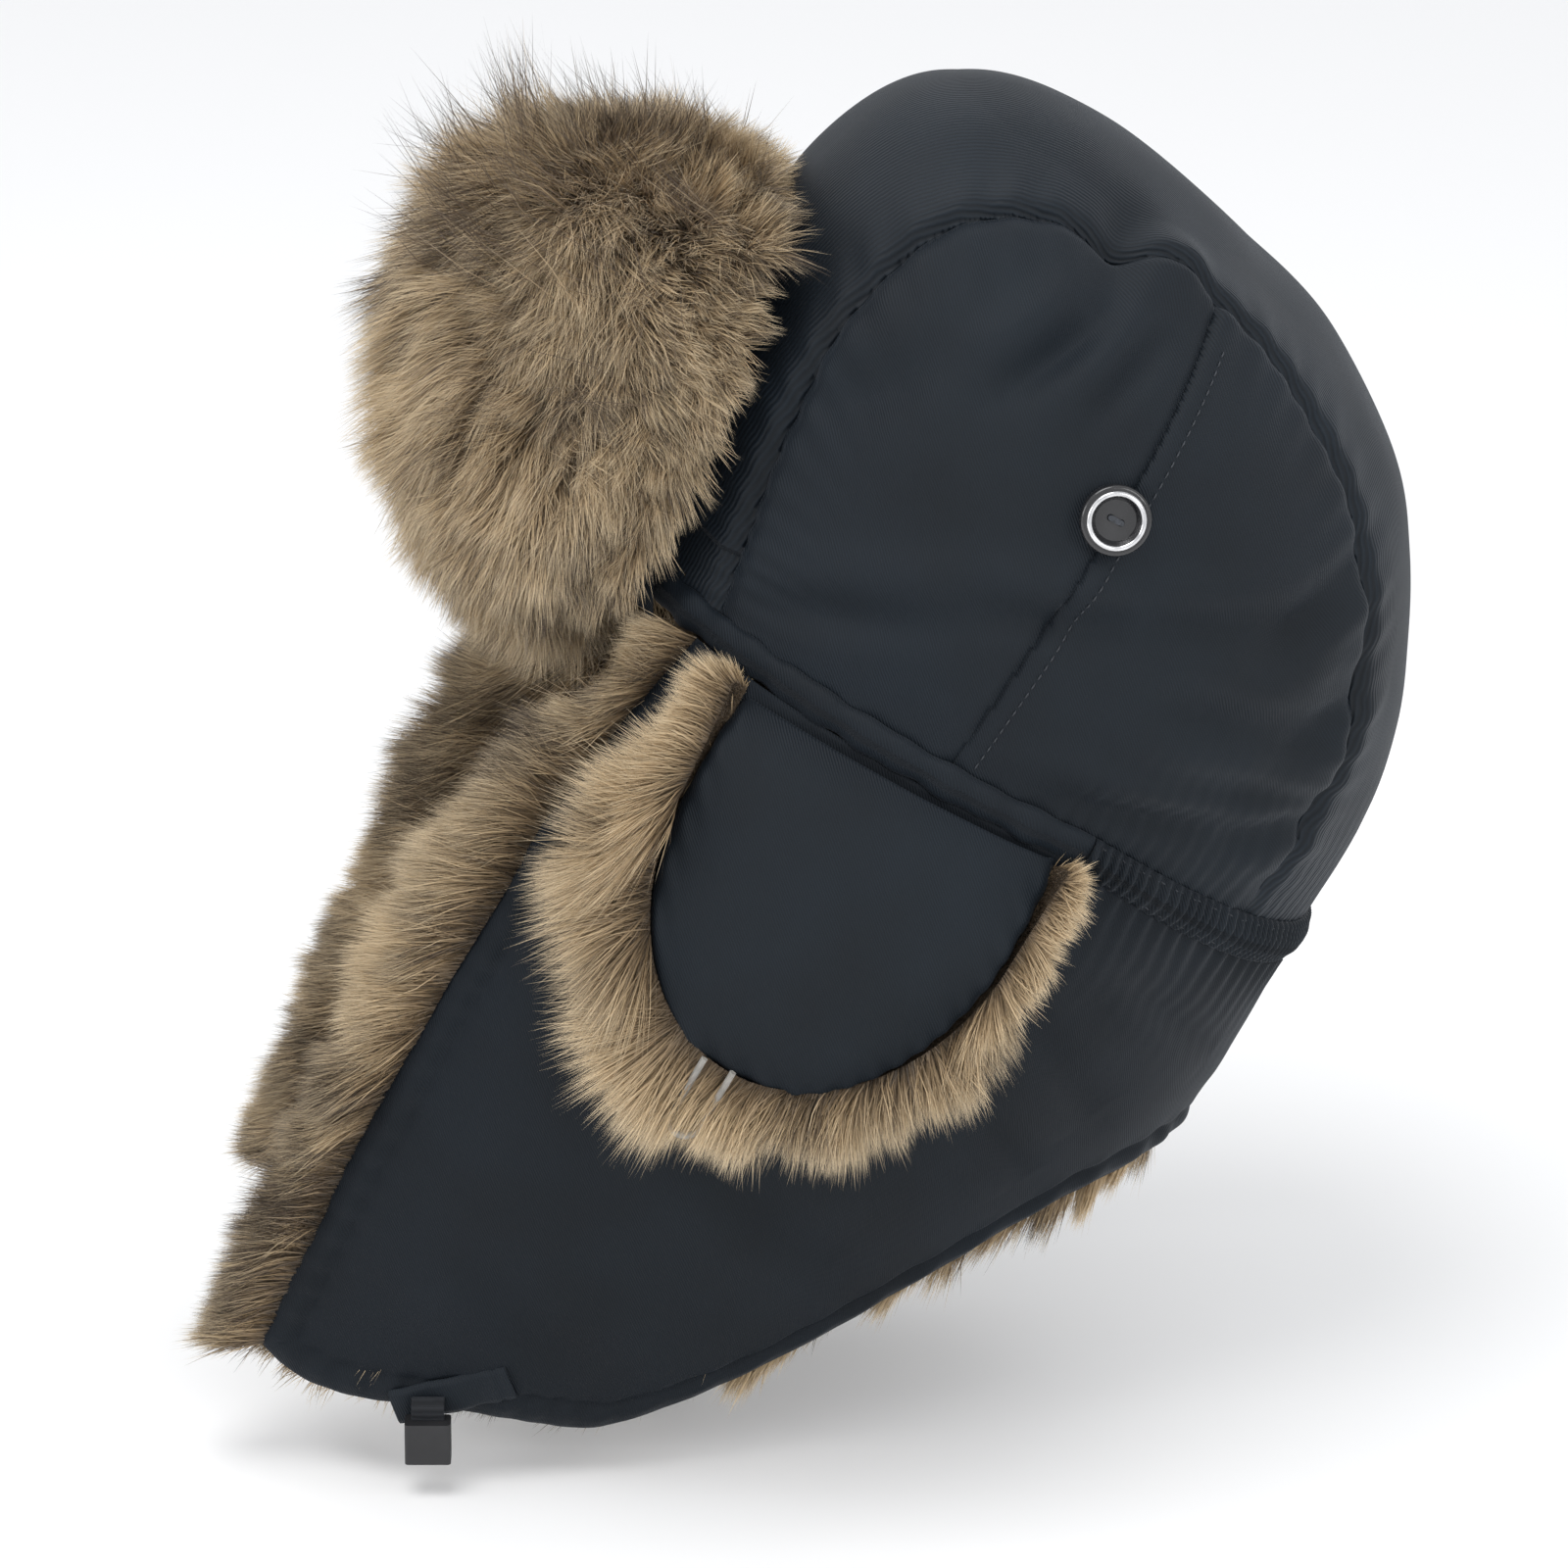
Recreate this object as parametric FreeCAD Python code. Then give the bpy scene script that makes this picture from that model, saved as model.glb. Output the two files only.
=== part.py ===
import FreeCAD, Part
import math
import os

# Trapper hat, worn on an upright head. Millimetres.
# The hat is drawn square to its band (band frame: origin in the middle of the head opening,
# +Z through the crown, front -Y, wearer's left +X) and is tipped back onto the head at the end.

os.makedirs("parts", exist_ok=True)
V = FreeCAD.Vector

# ---- driving dimensions -------------------------------------------------------------------
BAND_PITCH = 28.0            # the band runs down from brow to nape by this angle
REACH = 320.0                # longer than the hat in every direction
HALF_START = 5.0              # a flap's left half begins this far from the middle
TWILL = 1.2                  # outer cloth
WADDING = 3.8                # crown wadding
LINING = 1.0                 # crown lining
SWEATBAND = 2.0
SWEATBAND_LEVELS = (4.0, 26.0)
BAND_HALF_HEIGHT = 4.0       # narrow folded band at the front and the sides
BAND_PROUD = 2.0
CASING_PROUD = 2.6           # gathered elastic casing at the nape
ELASTIC = 1.0
FUR_THICK = 13.0             # backing and pile of the flap lining
FUR_BELOW = 7.0              # pile below the bottom edge
CLEAR = 0.4                  # between bodies that move past each other
PLY_GAP = 0.1                # between the plies of the crown
SPLIT_Y = 30.0               # where the cheek flap bends away from the neck curtain
PANEL_HALF = 62.0            # centre panel of the crown, seam to middle
FACE_HALF = 47.0             # the face opening between the flaps, half width
COVER_GAP = 3.1              # ear cover fur to flap cloth
COVER_FUR = 6.9
COVER_BORDER = 17.0          # fur standing out round the ear cover
COVER_MIDDLE_Y = -22.0
COVER_HALF = 48.0
COVER_TOP = -5.6
COVER_DEPTH = 90.0
COVER_SQUARE = 0.35          # share of the ear cover's depth with straight sides
BUTTON_OD = 18.0
BUTTON_THICK = 3.2
BUTTON_STAND = 1.0           # button's back to the cloth, on its thread shank
BUTTON_EDGE = 0.9
DISH_FLOOR = 5.2
DISH_RIM = 6.4
DISH_DEPTH = 1.4
RING_RADIUS = 6.9
RING_WIRE = 1.4
HOLE_PITCH = 3.0
HOLE_RADIUS = 0.9
THREAD_RADIUS = 0.7
THREAD_FOOT = 0.12
BUTTON_Y = -11.0
BUTTON_Z = 82.0
LOOP_WIRE = 1.8
LOOP_RADIUS = 4.2
LOOP_DROP = 18.0
LOOP_TUCK = 3.0               # how far up the cover's lower edge the loop is sewn
LOOP_STAND = 1.4              # loop off the cover cloth
LOOP_Y = -28.0
VISOR_HALF = 60.0
VISOR_PAD = 2.5
VISOR_LEVELS = (-8.0, 104.0)
VISOR_BACK_Y = -40.0
VISOR_FOLD_Z = -4.0          # below this the visor's pile narrows and rolls under
PILE_LAP = 2.0                # the pile under the fold reaches this far above it
PILE_CEILING = 100.0          # level above which the visor has no pile
PILE_TOP = (68.0, 98.0, -96.0)     # plan of the visor's pile: half width, half length, middle
PILE_UNDER = (42.0, 90.0, -104.0)
PILE_OFF_CROWN = 3.0
TAB_PROUD = 2.4
TAB_LIFT = 0.1
STRAP_WIDTH = 9.0
STRAP_THICK = 1.4
BUCKLE_WIDTH = 12.5
BUCKLE_THICK = 6.6
BUCKLE_LENGTH = 12.0
BUCKLE_WALL = 1.1
STRAP_LENGTH = 5.5
STRAP_ALONG = 0.7            # how far down its tab the webbing leaves it
STRAP_TUCK = 2.0             # webbing above its hinge line
STRAP_OFF = 4.8              # webbing outside the cloth
CORNER = 1.0                 # rounding of the buckle's upright edges
MOUTH_DEPTH = 9.0
WINDOW = (4.0, 3.0)          # release windows: height, and lowest edge above the buckle's end
PRONG_BASE = (5.4, 4.5)      # thickness and length of the prong's base
ARM = (3.0, 1.6, 8.0, 3.7)   # thickness, width, length, distance from the middle
BARB = (3.0, 1.2, 2.8, 4.8)
BARB_START = 1.4              # barb above the root of its arm
PRONG_OVERLAP = 0.5           # arms and barbs sunk into each other so that they fuse
GUIDE = (2.0, 7.5)

# level, middle of the oval along Y, half width, half length: the outer cloth
CURTAIN = (
    (-262.0, -56.0, 68.0, 114.0),
    (-160.0, -32.0, 82.0, 125.0),
    (-80.0, -22.0, 90.0, 138.0),
    (0.0, 2.0, 90.0, 112.0),
)
CROWN = (
    (-30.0, 3.0, 86.0, 110.0),
    (0.0, 2.0, 90.0, 112.0),
    (40.0, -2.0, 96.0, 112.0),
    (85.0, -11.0, 95.0, 103.0),
    (118.0, -21.0, 84.0, 87.0),
    (142.0, -34.0, 62.0, 63.0),
    (155.0, -44.0, 36.0, 36.0),
    (160.0, -47.0, 12.0, 12.0),
)
CROWN_TOP = CROWN[-1][0]

# the turned-up visor leans away from the crown
VISOR = (
    (-8.0, 2.0, 94.0, 115.4),
    (35.0, -18.0, 88.0, 121.0),
    (75.0, -25.0, 87.0, 125.0),
    (104.0, -26.0, 87.0, 126.0),
)

# where the seams of the casing run at the back: (Y, top Z, bottom Z)
NAPE = (120.0, -8.0, -22.0)
NAPE_END = (150.0, -12.0, -24.0)
CASING_START_Z = -6.0
CASING_PLY = (1.4, 1.5)      # elastic channel: outside of the crown surface, inset from the edges
FLAP_TOP = -4.4
EDGE_ROLL = 2.0              # fur rolled out past the flap's front edge
EDGE_ROLL_Y = -96.6

# side outlines, (Y, Z) in the band frame
SIDE_SEAM = ((-22, -REACH), (-13, 0), (-8, 140), (-8, REACH))
FLAP_SIDE = ((-82, -4.4), (-95, -64), (-96, -115), (-95, -177), (-92, -236), (-78, -241),
             (-40, -229), (2, -219), (24, -194), (46, -160), (71, -122), (86, -98), (122, -78))
FUR_FRONT = ((-84, -8), (-98, -16), (-112, -36), (-123, -70), (-121, -115), (-118, -175),
             (-118, -212), (-106, -244), (-84, -250))
FUR_NAPE = ((140, -70), (140, -26), (120, -26), (SPLIT_Y, -8))
VISOR_SIDE = ((-104, 122), (-144, 112), (-170, 100), (-190, 78), (-192, 52), (-192, 20),
              (-184, -6), (-166, -28), (-146, -44), (-128, -50), (-116, -40), (-113.5, -12))


# ---- helpers ------------------------------------------------------------------------------
def oval(level, middle, half_x, half_y):
    """One oval section, square to Z."""
    curve = Part.Circle(V(0, 0, 0), V(0, 0, 1), 1.0).toBSpline()
    for i, pole in enumerate(curve.getPoles(), 1):
        curve.setPole(i, V(pole.x * half_x, middle + pole.y * half_y, level))
    return Part.Wire([curve.toShape()])


def body_of(sections, grow):
    """The loft through the sections, grown sideways (and at the crown upwards) by grow."""
    wires = []
    for level, middle, half_x, half_y in sections:
        lift = grow * max(level, 0.0) / CROWN_TOP
        if half_x + grow > 3.0:
            wires.append(oval(level + lift, middle, half_x + grow, half_y + grow))
    return Part.makeLoft(wires, True, False)


def skin(outer, inner, sections):
    """The layer between two offsets of the same surface."""
    return body_of(sections, outer).cut(body_of(sections, inner))


def side_prism(points, x_from=-REACH, x_to=REACH):
    """A (Y, Z) outline swept along X."""
    corners = [V(x_from, y, z) for y, z in points]
    face = Part.Face(Part.makePolygon(corners + corners[:1]))
    return face.extrude(V(x_to - x_from, 0, 0))


def slab(y_from, y_to, z_from, z_to, x_from=-REACH, x_to=REACH):
    """A plain box given by its limits."""
    return Part.makeBox(x_to - x_from, y_to - y_from, z_to - z_from, V(x_from, y_from, z_from))


def arc_outline(middle, top, half, depth, corner, steps=20):
    """A D with straight sides and a half-oval bottom, as (Y, Z) points."""
    side = top - depth * COVER_SQUARE
    points = [(middle - half + corner, top), (middle - half, top - corner)]
    for i in range(steps + 1):
        angle = math.pi * i / steps
        points.append((middle - half * math.cos(angle), side - (depth + side - top) * math.sin(angle)))
    return points + [(middle + half, top - corner), (middle + half - corner, top)]


def wear(shape):
    """From the band frame to the upright head."""
    worn = shape.copy()
    worn.rotate(V(0, 0, 0), V(1, 0, 0), -BAND_PITCH)
    return worn


def mirror(shape):
    return shape.mirror(V(0, 0, 0), V(1, 0, 0))


def save(name, shape):
    """Check one node and write it."""
    solids = [s for s in shape.Solids if s.Volume > 1.0]
    piece = solids[0] if len(solids) == 1 else Part.makeCompound(solids)
    print(f"{name:28s} solids {len(solids)}  volume {piece.Volume / 1000:8.2f} cm3  valid {piece.isValid()}")
    piece.exportStep(f"parts/{name}.step")


def save_pair(name, left):
    """A left piece in the band frame and its mirror image."""
    save(f"{name}_left", wear(left))
    save(f"{name}_right", wear(mirror(left)))


# ---- crown --------------------------------------------------------------------------------
def above_band():
    """Everything over the band; at the nape the casing sits lower."""
    return side_prism(((-REACH, BAND_HALF_HEIGHT), (SPLIT_Y, BAND_HALF_HEIGHT), NAPE[:2],
                       (REACH, NAPE[1]), (REACH, REACH), (-REACH, REACH)))


def make_crown():
    cloth = skin(0.0, -TWILL, CROWN).common(above_band())
    middle = slab(-REACH, REACH, -REACH, REACH, -PANEL_HALF, PANEL_HALF)
    save("crown_centre_panel", wear(cloth.common(middle)))
    left = cloth.common(slab(-REACH, REACH, -REACH, REACH, PANEL_HALF, REACH))
    ahead_of_seam = side_prism(((-REACH, -REACH), *SIDE_SEAM, (-REACH, REACH)))
    save_pair("crown_side_front", left.common(ahead_of_seam))
    save_pair("crown_side_rear", left.cut(ahead_of_seam))
    inner = TWILL + PLY_GAP + WADDING
    quilt = skin(-TWILL - PLY_GAP, -inner, CROWN).common(above_band())
    save("crown_wadding_centre", wear(quilt.common(middle)))
    save_pair("crown_wadding", quilt.common(slab(-REACH, REACH, -REACH, REACH, PANEL_HALF + PLY_GAP, REACH)))
    inner += PLY_GAP
    save("crown_lining", wear(skin(-inner, -inner - LINING, CROWN).common(above_band())))
    depth = inner + LINING + PLY_GAP
    strip = skin(-depth, -depth - SWEATBAND, CROWN).common(slab(-REACH, REACH, *SWEATBAND_LEVELS))
    save("sweatband", wear(strip))


# ---- band and nape casing -----------------------------------------------------------------
def casing_outline(inset=0.0):
    """Side view of the casing; inset draws the channel inside it."""
    return ((SPLIT_Y + inset, BAND_HALF_HEIGHT - inset), (NAPE[0], NAPE[1] - inset),
            (NAPE_END[0], NAPE_END[1] - inset), (NAPE_END[0], NAPE_END[2] + inset),
            (NAPE[0], NAPE[2] + inset), (SPLIT_Y + inset, CASING_START_Z + inset))


def make_band():
    low = slab(-REACH, SPLIT_Y, -BAND_HALF_HEIGHT, BAND_HALF_HEIGHT)
    save("band_fold", wear(skin(BAND_PROUD, -TWILL, CROWN).common(low)))
    proud, inset = CASING_PLY
    channel = skin(proud, proud - ELASTIC, CROWN).common(side_prism(casing_outline(inset)))
    casing = skin(CASING_PROUD, -TWILL, CROWN).common(side_prism(casing_outline()))
    save("nape_casing", wear(casing.cut(channel)))
    save("nape_elastic", wear(channel))


# ---- flaps --------------------------------------------------------------------------------
def fur_side():
    """The flap outline with the pile past its edges."""
    hem = [(y, z - FUR_BELOW) for y, z in FLAP_SIDE[6:]]
    return list(FUR_FRONT) + hem + list(FUR_NAPE)


def cloth_side():
    """The flap outline, closed along the casing's lower edge."""
    return list(FLAP_SIDE) + [FUR_NAPE[0], (FUR_NAPE[0][0], NAPE_END[2]), (NAPE[0], NAPE[2]),
                              (SPLIT_Y, CASING_START_Z), (SPLIT_Y, FLAP_TOP)]


def make_flaps():
    cloth = skin(0.0, -TWILL, CURTAIN).common(side_prism(cloth_side()))
    fur = skin(-TWILL, -TWILL - FUR_THICK, CURTAIN).common(side_prism(fur_side()))
    puff = slab(-REACH, EDGE_ROLL_Y, -REACH, VISOR_BACK_Y)
    edge = skin(EDGE_ROLL, -TWILL, CURTAIN).common(side_prism(fur_side())).common(puff)
    neck = slab(SPLIT_Y + CLEAR, REACH, -REACH, REACH)
    save("neck_curtain_shell", wear(cloth.common(neck)))
    save("neck_curtain_fur", wear(fur.common(neck)))
    cheek = slab(-REACH, SPLIT_Y, -REACH, REACH, FACE_HALF, REACH)
    save_pair("cheek_flap_shell", cloth.common(cheek))
    save_pair("cheek_flap_fur", fur.common(cheek).fuse(edge.common(cheek)))


# ---- ear covers ---------------------------------------------------------------------------
def make_ear_covers():
    half = slab(-REACH, REACH, -REACH, REACH, HALF_START, REACH)
    face = COVER_GAP + COVER_FUR
    outline = arc_outline(COVER_MIDDLE_Y, COVER_TOP, COVER_HALF, COVER_DEPTH, 3.0)
    wide = arc_outline(COVER_MIDDLE_Y, COVER_TOP - 1, COVER_HALF + COVER_BORDER,
                       COVER_DEPTH + COVER_BORDER, 15.0)
    save_pair("ear_cover_shell", skin(face + TWILL, face, CURTAIN).common(side_prism(outline)).common(half))
    save_pair("ear_cover_fur", skin(face, COVER_GAP, CURTAIN).common(side_prism(wide)).common(half))


# ---- buttons and loops --------------------------------------------------------------------
def surface_x(y, z, sections):
    """How far out the hat surface is at a place on its side."""
    line = Part.makeLine(V(0, y, z), V(REACH, y, z))
    inside = body_of(sections, 0.0).common(line)
    return inside.BoundBox.XMax


def crown_facing(y, z, step=4.0):
    """The direction square to the crown's side at a place."""
    along = V(surface_x(y + step, z, CROWN) - surface_x(y - step, z, CROWN), 2 * step, 0)
    up = V(surface_x(y, z + step, CROWN) - surface_x(y, z - step, CROWN), 0, 2 * step)
    return along.cross(up).normalize()


def make_buttons():
    seat = V(surface_x(BUTTON_Y, BUTTON_Z, CROWN), BUTTON_Y, BUTTON_Z)
    turn = FreeCAD.Rotation(V(0, 0, 1), crown_facing(BUTTON_Y, BUTTON_Z))
    face = BUTTON_STAND + BUTTON_THICK
    disc = Part.makeCylinder(BUTTON_OD / 2, BUTTON_THICK, V(0, 0, BUTTON_STAND))
    dish = Part.makeCone(DISH_FLOOR, DISH_RIM, DISH_DEPTH, V(0, 0, face - DISH_DEPTH))
    disc = disc.makeFillet(BUTTON_EDGE, disc.Edges[:1]).cut(dish)
    ring = Part.makeTorus(RING_RADIUS, RING_WIRE / 2, V(0, 0, face))
    disc = disc.cut(ring)
    thread_top = face - DISH_DEPTH + THREAD_RADIUS
    threads = [Part.makeBox(2 * THREAD_RADIUS, HOLE_PITCH, THREAD_RADIUS,
                            V(-THREAD_RADIUS, -HOLE_PITCH / 2, thread_top - THREAD_RADIUS))]
    for offset in (-HOLE_PITCH / 2, HOLE_PITCH / 2):
        hole = Part.makeCylinder(HOLE_RADIUS, face, V(0, offset, 0))
        disc = disc.cut(hole)
        threads.append(Part.makeCylinder(THREAD_RADIUS, thread_top - THREAD_FOOT, V(0, offset, THREAD_FOOT)))
    thread = threads[0].multiFuse(threads[1:])
    for name, shape in (("side_button", disc), ("button_ring", ring), ("button_thread", thread)):
        placed = shape.copy()
        placed.Placement = FreeCAD.Placement(seat, turn).multiply(placed.Placement)
        save_pair(name, placed)


def make_loops():
    """Clear elastic, doubled, sewn into the lower edge of each ear cover."""
    top = COVER_TOP - COVER_DEPTH + LOOP_TUCK
    x = surface_x(LOOP_Y, top, CURTAIN) + COVER_GAP + COVER_FUR + TWILL + LOOP_STAND
    bend = Part.makeTorus(LOOP_RADIUS, LOOP_WIRE / 2, V(0, 0, 0), V(1, 0, 0)).common(
        slab(-REACH, REACH, -REACH, 0))
    bend.translate(V(x, LOOP_Y, top - LOOP_DROP))
    legs = []
    for offset in (-LOOP_RADIUS, LOOP_RADIUS):
        foot = V(x, LOOP_Y + offset, top - LOOP_DROP)
        legs.append(Part.makeCylinder(LOOP_WIRE / 2, LOOP_DROP, foot))
    save_pair("elastic_loop", bend.multiFuse(legs))


# ---- visor --------------------------------------------------------------------------------
def pile_plan(plan, z_from, z_to):
    """An upright oval column; plan holds half width, half length and middle."""
    half_x, half_y, middle = plan
    wire = oval(z_from, middle, half_x, half_y)
    return Part.Face(wire).extrude(V(0, 0, z_to - z_from))


def make_visor():
    wide = slab(-REACH, VISOR_BACK_Y, *VISOR_LEVELS, -VISOR_HALF, VISOR_HALF)
    back = TWILL + VISOR_PAD
    save("visor_shell", wear(skin(TWILL, 0.0, VISOR).common(wide)))
    save("visor_wadding", wear(skin(back, TWILL, VISOR).common(wide)))
    curve = Part.BSplineCurve()
    curve.interpolate([V(-REACH, y, z) for y, z in VISOR_SIDE])
    start, end = VISOR_SIDE[0], VISOR_SIDE[-1]
    closing = Part.makeLine(V(-REACH, *end), V(-REACH, *start))
    bulk = Part.Face(Part.Wire([curve.toShape(), closing])).extrude(V(2 * REACH, 0, 0))
    upper = bulk.common(pile_plan(PILE_TOP, VISOR_FOLD_Z, REACH))
    under = bulk.common(pile_plan(PILE_UNDER, -REACH, VISOR_FOLD_Z + PILE_LAP))
    above = slab(-REACH, REACH, PILE_CEILING, REACH)
    inside = body_of(VISOR, back).fuse(body_of(CROWN, PILE_OFF_CROWN).common(above))
    save("visor_fur", wear(upper.fuse(under).cut(inside)))


# ---- chin straps --------------------------------------------------------------------------
TAB = ((-31, -208), (-55, -231), (-47, -239), (-23, -216))


def strap_place():
    """Where the webbing leaves the tab, on the upright head."""
    top = [(TAB[0][i] + TAB[3][i]) / 2 for i in (0, 1)]
    tip = [(TAB[1][i] + TAB[2][i]) / 2 for i in (0, 1)]
    y, z = [a + (b - a) * STRAP_ALONG for a, b in zip(top, tip)]
    return FreeCAD.Rotation(V(1, 0, 0), -BAND_PITCH).multVec(V(surface_x(y, z, CURTAIN), y, z))


def centred(size_x, size_y, z_from, z_to, y=0.0):
    """A box centred on X = 0 and on the given Y."""
    return Part.makeBox(size_x, size_y, z_to - z_from, V(-size_x / 2, y - size_y / 2, z_from))


def rounded(box):
    return box.makeFillet(CORNER, [e for e in box.Edges if e.BoundBox.ZLength > 3])


def buckle_socket():
    """Open below; top at the origin, hanging down -Z."""
    shell = rounded(centred(BUCKLE_THICK, BUCKLE_WIDTH, -BUCKLE_LENGTH, 0))
    mouth_x = BUCKLE_THICK - 2 * BUCKLE_WALL
    mouth = centred(mouth_x, BUCKLE_WIDTH - 2 * BUCKLE_WALL, -REACH, MOUTH_DEPTH - BUCKLE_LENGTH)
    height, sill = WINDOW
    window_low = sill - BUCKLE_LENGTH
    windows = centred(mouth_x - CORNER, 2 * BUCKLE_WIDTH, window_low, window_low + height)
    return shell.cut(mouth).cut(windows)


def buckle_prong():
    """Base with two sprung arms and a guide between them."""
    thick, length = PRONG_BASE
    base = rounded(centred(thick, BUCKLE_WIDTH, -length, 0))
    guide_width, guide_length = GUIDE
    root = PRONG_OVERLAP - length
    pieces = [centred(guide_width, guide_width, root - guide_length, root)]
    for side in (-1, 1):
        arm_thick, arm_width, arm_length, out = ARM
        low = root - arm_length
        pieces.append(centred(arm_thick, arm_width, low, root, side * out))
        barb_thick, barb_width, barb_length, out = BARB
        foot = low + BARB_START
        pieces.append(centred(barb_thick, barb_width, foot, foot + barb_length, side * out))
    return base.multiFuse(pieces).removeSplitter()


def make_straps():
    """A twill tab on each flap and short webbing with one buckle half; the ends hang plumb."""
    cheek = slab(-REACH, SPLIT_Y, -REACH, REACH, HALF_START, REACH)
    save_pair("chin_tab", skin(TAB_PROUD, TAB_LIFT, CURTAIN).common(side_prism(TAB)).common(cheek))
    place = strap_place()
    x = place.x + STRAP_OFF + CLEAR
    end = place.z + STRAP_TUCK - STRAP_LENGTH
    strap = Part.makeBox(STRAP_THICK, STRAP_WIDTH, STRAP_LENGTH, V(x, place.y - STRAP_WIDTH / 2, end))
    save("chin_strap_left", strap)
    save("chin_strap_right", mirror(strap))
    socket = buckle_socket()
    hang_x = x + STRAP_THICK / 2
    socket.translate(V(hang_x, place.y, end))
    save("buckle_socket", socket)
    prong = buckle_prong()
    prong.translate(V(-hang_x, place.y, end))
    save("buckle_prong", prong)
    print("strap hinge", round(hang_x, 2), round(place.y, 2), round(place.z + STRAP_TUCK, 2))
    print("socket mouth", round(hang_x, 2), round(place.y, 2), round(end - BUCKLE_LENGTH, 2))


make_crown()
make_band()
make_flaps()
make_ear_covers()
make_buttons()
make_loops()
make_visor()
make_straps()
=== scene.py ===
# %% [markdown]
# # A trapper hat: dark twill outside, long fur inside
# The hat is worn on an upright head, front towards -Y, wearer's left towards +X. Its metal and plastic
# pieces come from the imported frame. Everything soft is built here as cloth and real hair, because a
# plain solid says nothing about how twill puckers at a seam or how fur breaks up an outline.

# %% Load the frame
import bpy
import bmesh
import math
import numpy as np
from mathutils import Matrix, Vector


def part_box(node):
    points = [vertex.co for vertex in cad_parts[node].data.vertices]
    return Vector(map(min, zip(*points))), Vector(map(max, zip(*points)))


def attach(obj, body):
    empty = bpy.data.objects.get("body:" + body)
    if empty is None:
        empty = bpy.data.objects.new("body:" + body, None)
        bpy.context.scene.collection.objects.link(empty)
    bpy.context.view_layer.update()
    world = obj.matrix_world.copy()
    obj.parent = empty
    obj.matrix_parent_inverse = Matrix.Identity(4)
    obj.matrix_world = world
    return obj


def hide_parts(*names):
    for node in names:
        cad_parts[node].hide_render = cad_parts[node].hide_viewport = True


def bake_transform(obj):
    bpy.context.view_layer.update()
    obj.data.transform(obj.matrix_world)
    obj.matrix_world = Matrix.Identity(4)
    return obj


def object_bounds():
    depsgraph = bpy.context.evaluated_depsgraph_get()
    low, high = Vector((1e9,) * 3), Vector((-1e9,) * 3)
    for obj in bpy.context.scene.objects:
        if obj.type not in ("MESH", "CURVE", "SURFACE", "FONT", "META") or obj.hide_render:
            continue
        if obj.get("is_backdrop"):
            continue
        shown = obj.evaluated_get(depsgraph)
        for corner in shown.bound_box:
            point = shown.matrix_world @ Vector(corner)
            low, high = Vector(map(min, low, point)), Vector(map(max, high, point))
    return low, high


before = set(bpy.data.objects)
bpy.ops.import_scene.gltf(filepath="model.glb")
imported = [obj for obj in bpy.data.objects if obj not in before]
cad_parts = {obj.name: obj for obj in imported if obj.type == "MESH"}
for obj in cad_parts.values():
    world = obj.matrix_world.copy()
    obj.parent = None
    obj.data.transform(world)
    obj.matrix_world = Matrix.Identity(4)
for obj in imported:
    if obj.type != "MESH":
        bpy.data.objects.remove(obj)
CAD_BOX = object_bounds()
MM = 0.001
SPARE = 0.03 * (np.array(CAD_BOX[1]) - np.array(CAD_BOX[0])) + 9 * MM
PILE_LOW, PILE_HIGH = np.array(CAD_BOX[0]) - SPARE, np.array(CAD_BOX[1]) + SPARE
print("frame box in metres:", [[round(v, 4) for v in corner] for corner in CAD_BOX])

# %% [markdown]
# ## The shape that every cloth piece shares
# A hat is cut square to its band and then worn tipped back. So all shapes are worked out in the band's
# own frame, as ovals stacked along its normal, and tipped at the end. A smooth spline through a few
# ovals gives any level in between, which is simpler than sculpting and keeps all panels on one surface.

# %% Ovals of the hat
BAND_PITCH = math.radians(28)
TIP_BACK = Matrix.Rotation(-BAND_PITCH, 3, "X")
TWILL_THICK = 1.2 * MM
PANEL_HALF = 62 * MM
SPLIT_Y = 30 * MM
CROWN_OVALS = np.array([          # level, middle along Y, half width, half length
    (-30, 3, 86, 110), (0, 2, 90, 112), (40, -2, 96, 112), (85, -11, 95, 103),
    (118, -21, 84, 87), (142, -34, 62, 63), (155, -44, 36, 36), (160, -48, 12, 12),
    (160.6, -49, 0.5, 0.5)]) * MM
CURTAIN_OVALS = np.array([
    (-262, -56, 68, 114), (-160, -32, 82, 125), (-80, -22, 90, 138), (0, 2, 90, 112)]) * MM
VISOR_OVALS = np.array([
    (-8, 2, 94, 115.4), (35, -18, 88, 121), (75, -25, 87, 125), (104, -26, 87, 126)]) * MM


def spline(knots, values, at):
    """Natural cubic spline through the rows of values, read at many places."""
    n = len(knots)
    h = np.diff(knots)
    system = np.zeros((n, n))
    rhs = np.zeros((n, values.shape[1]))
    system[0, 0] = system[-1, -1] = 1.0
    for i in range(1, n - 1):
        system[i, i - 1:i + 2] = h[i - 1], 2 * (h[i - 1] + h[i]), h[i]
        rhs[i] = 6 * ((values[i + 1] - values[i]) / h[i] - (values[i] - values[i - 1]) / h[i - 1])
    bend = np.linalg.solve(system, rhs)
    k = np.clip(np.searchsorted(knots, at) - 1, 0, n - 2)
    left, right = (knots[k + 1] - at)[:, None], (at - knots[k])[:, None]
    w = h[k][:, None]
    return (bend[k] * left ** 3 / (6 * w) + bend[k + 1] * right ** 3 / (6 * w)
            + (values[k] / w - bend[k] * w / 6) * left
            + (values[k + 1] / w - bend[k + 1] * w / 6) * right)


def dense(ovals, count=400):
    """The stack of ovals read at many levels, evenly along its side."""
    steps = np.linalg.norm(np.diff(ovals[:, [0, 2]], axis=0), axis=1)
    knots = np.concatenate([[0], np.cumsum(steps)])
    return spline(knots, ovals, np.linspace(0, knots[-1], count))


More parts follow.
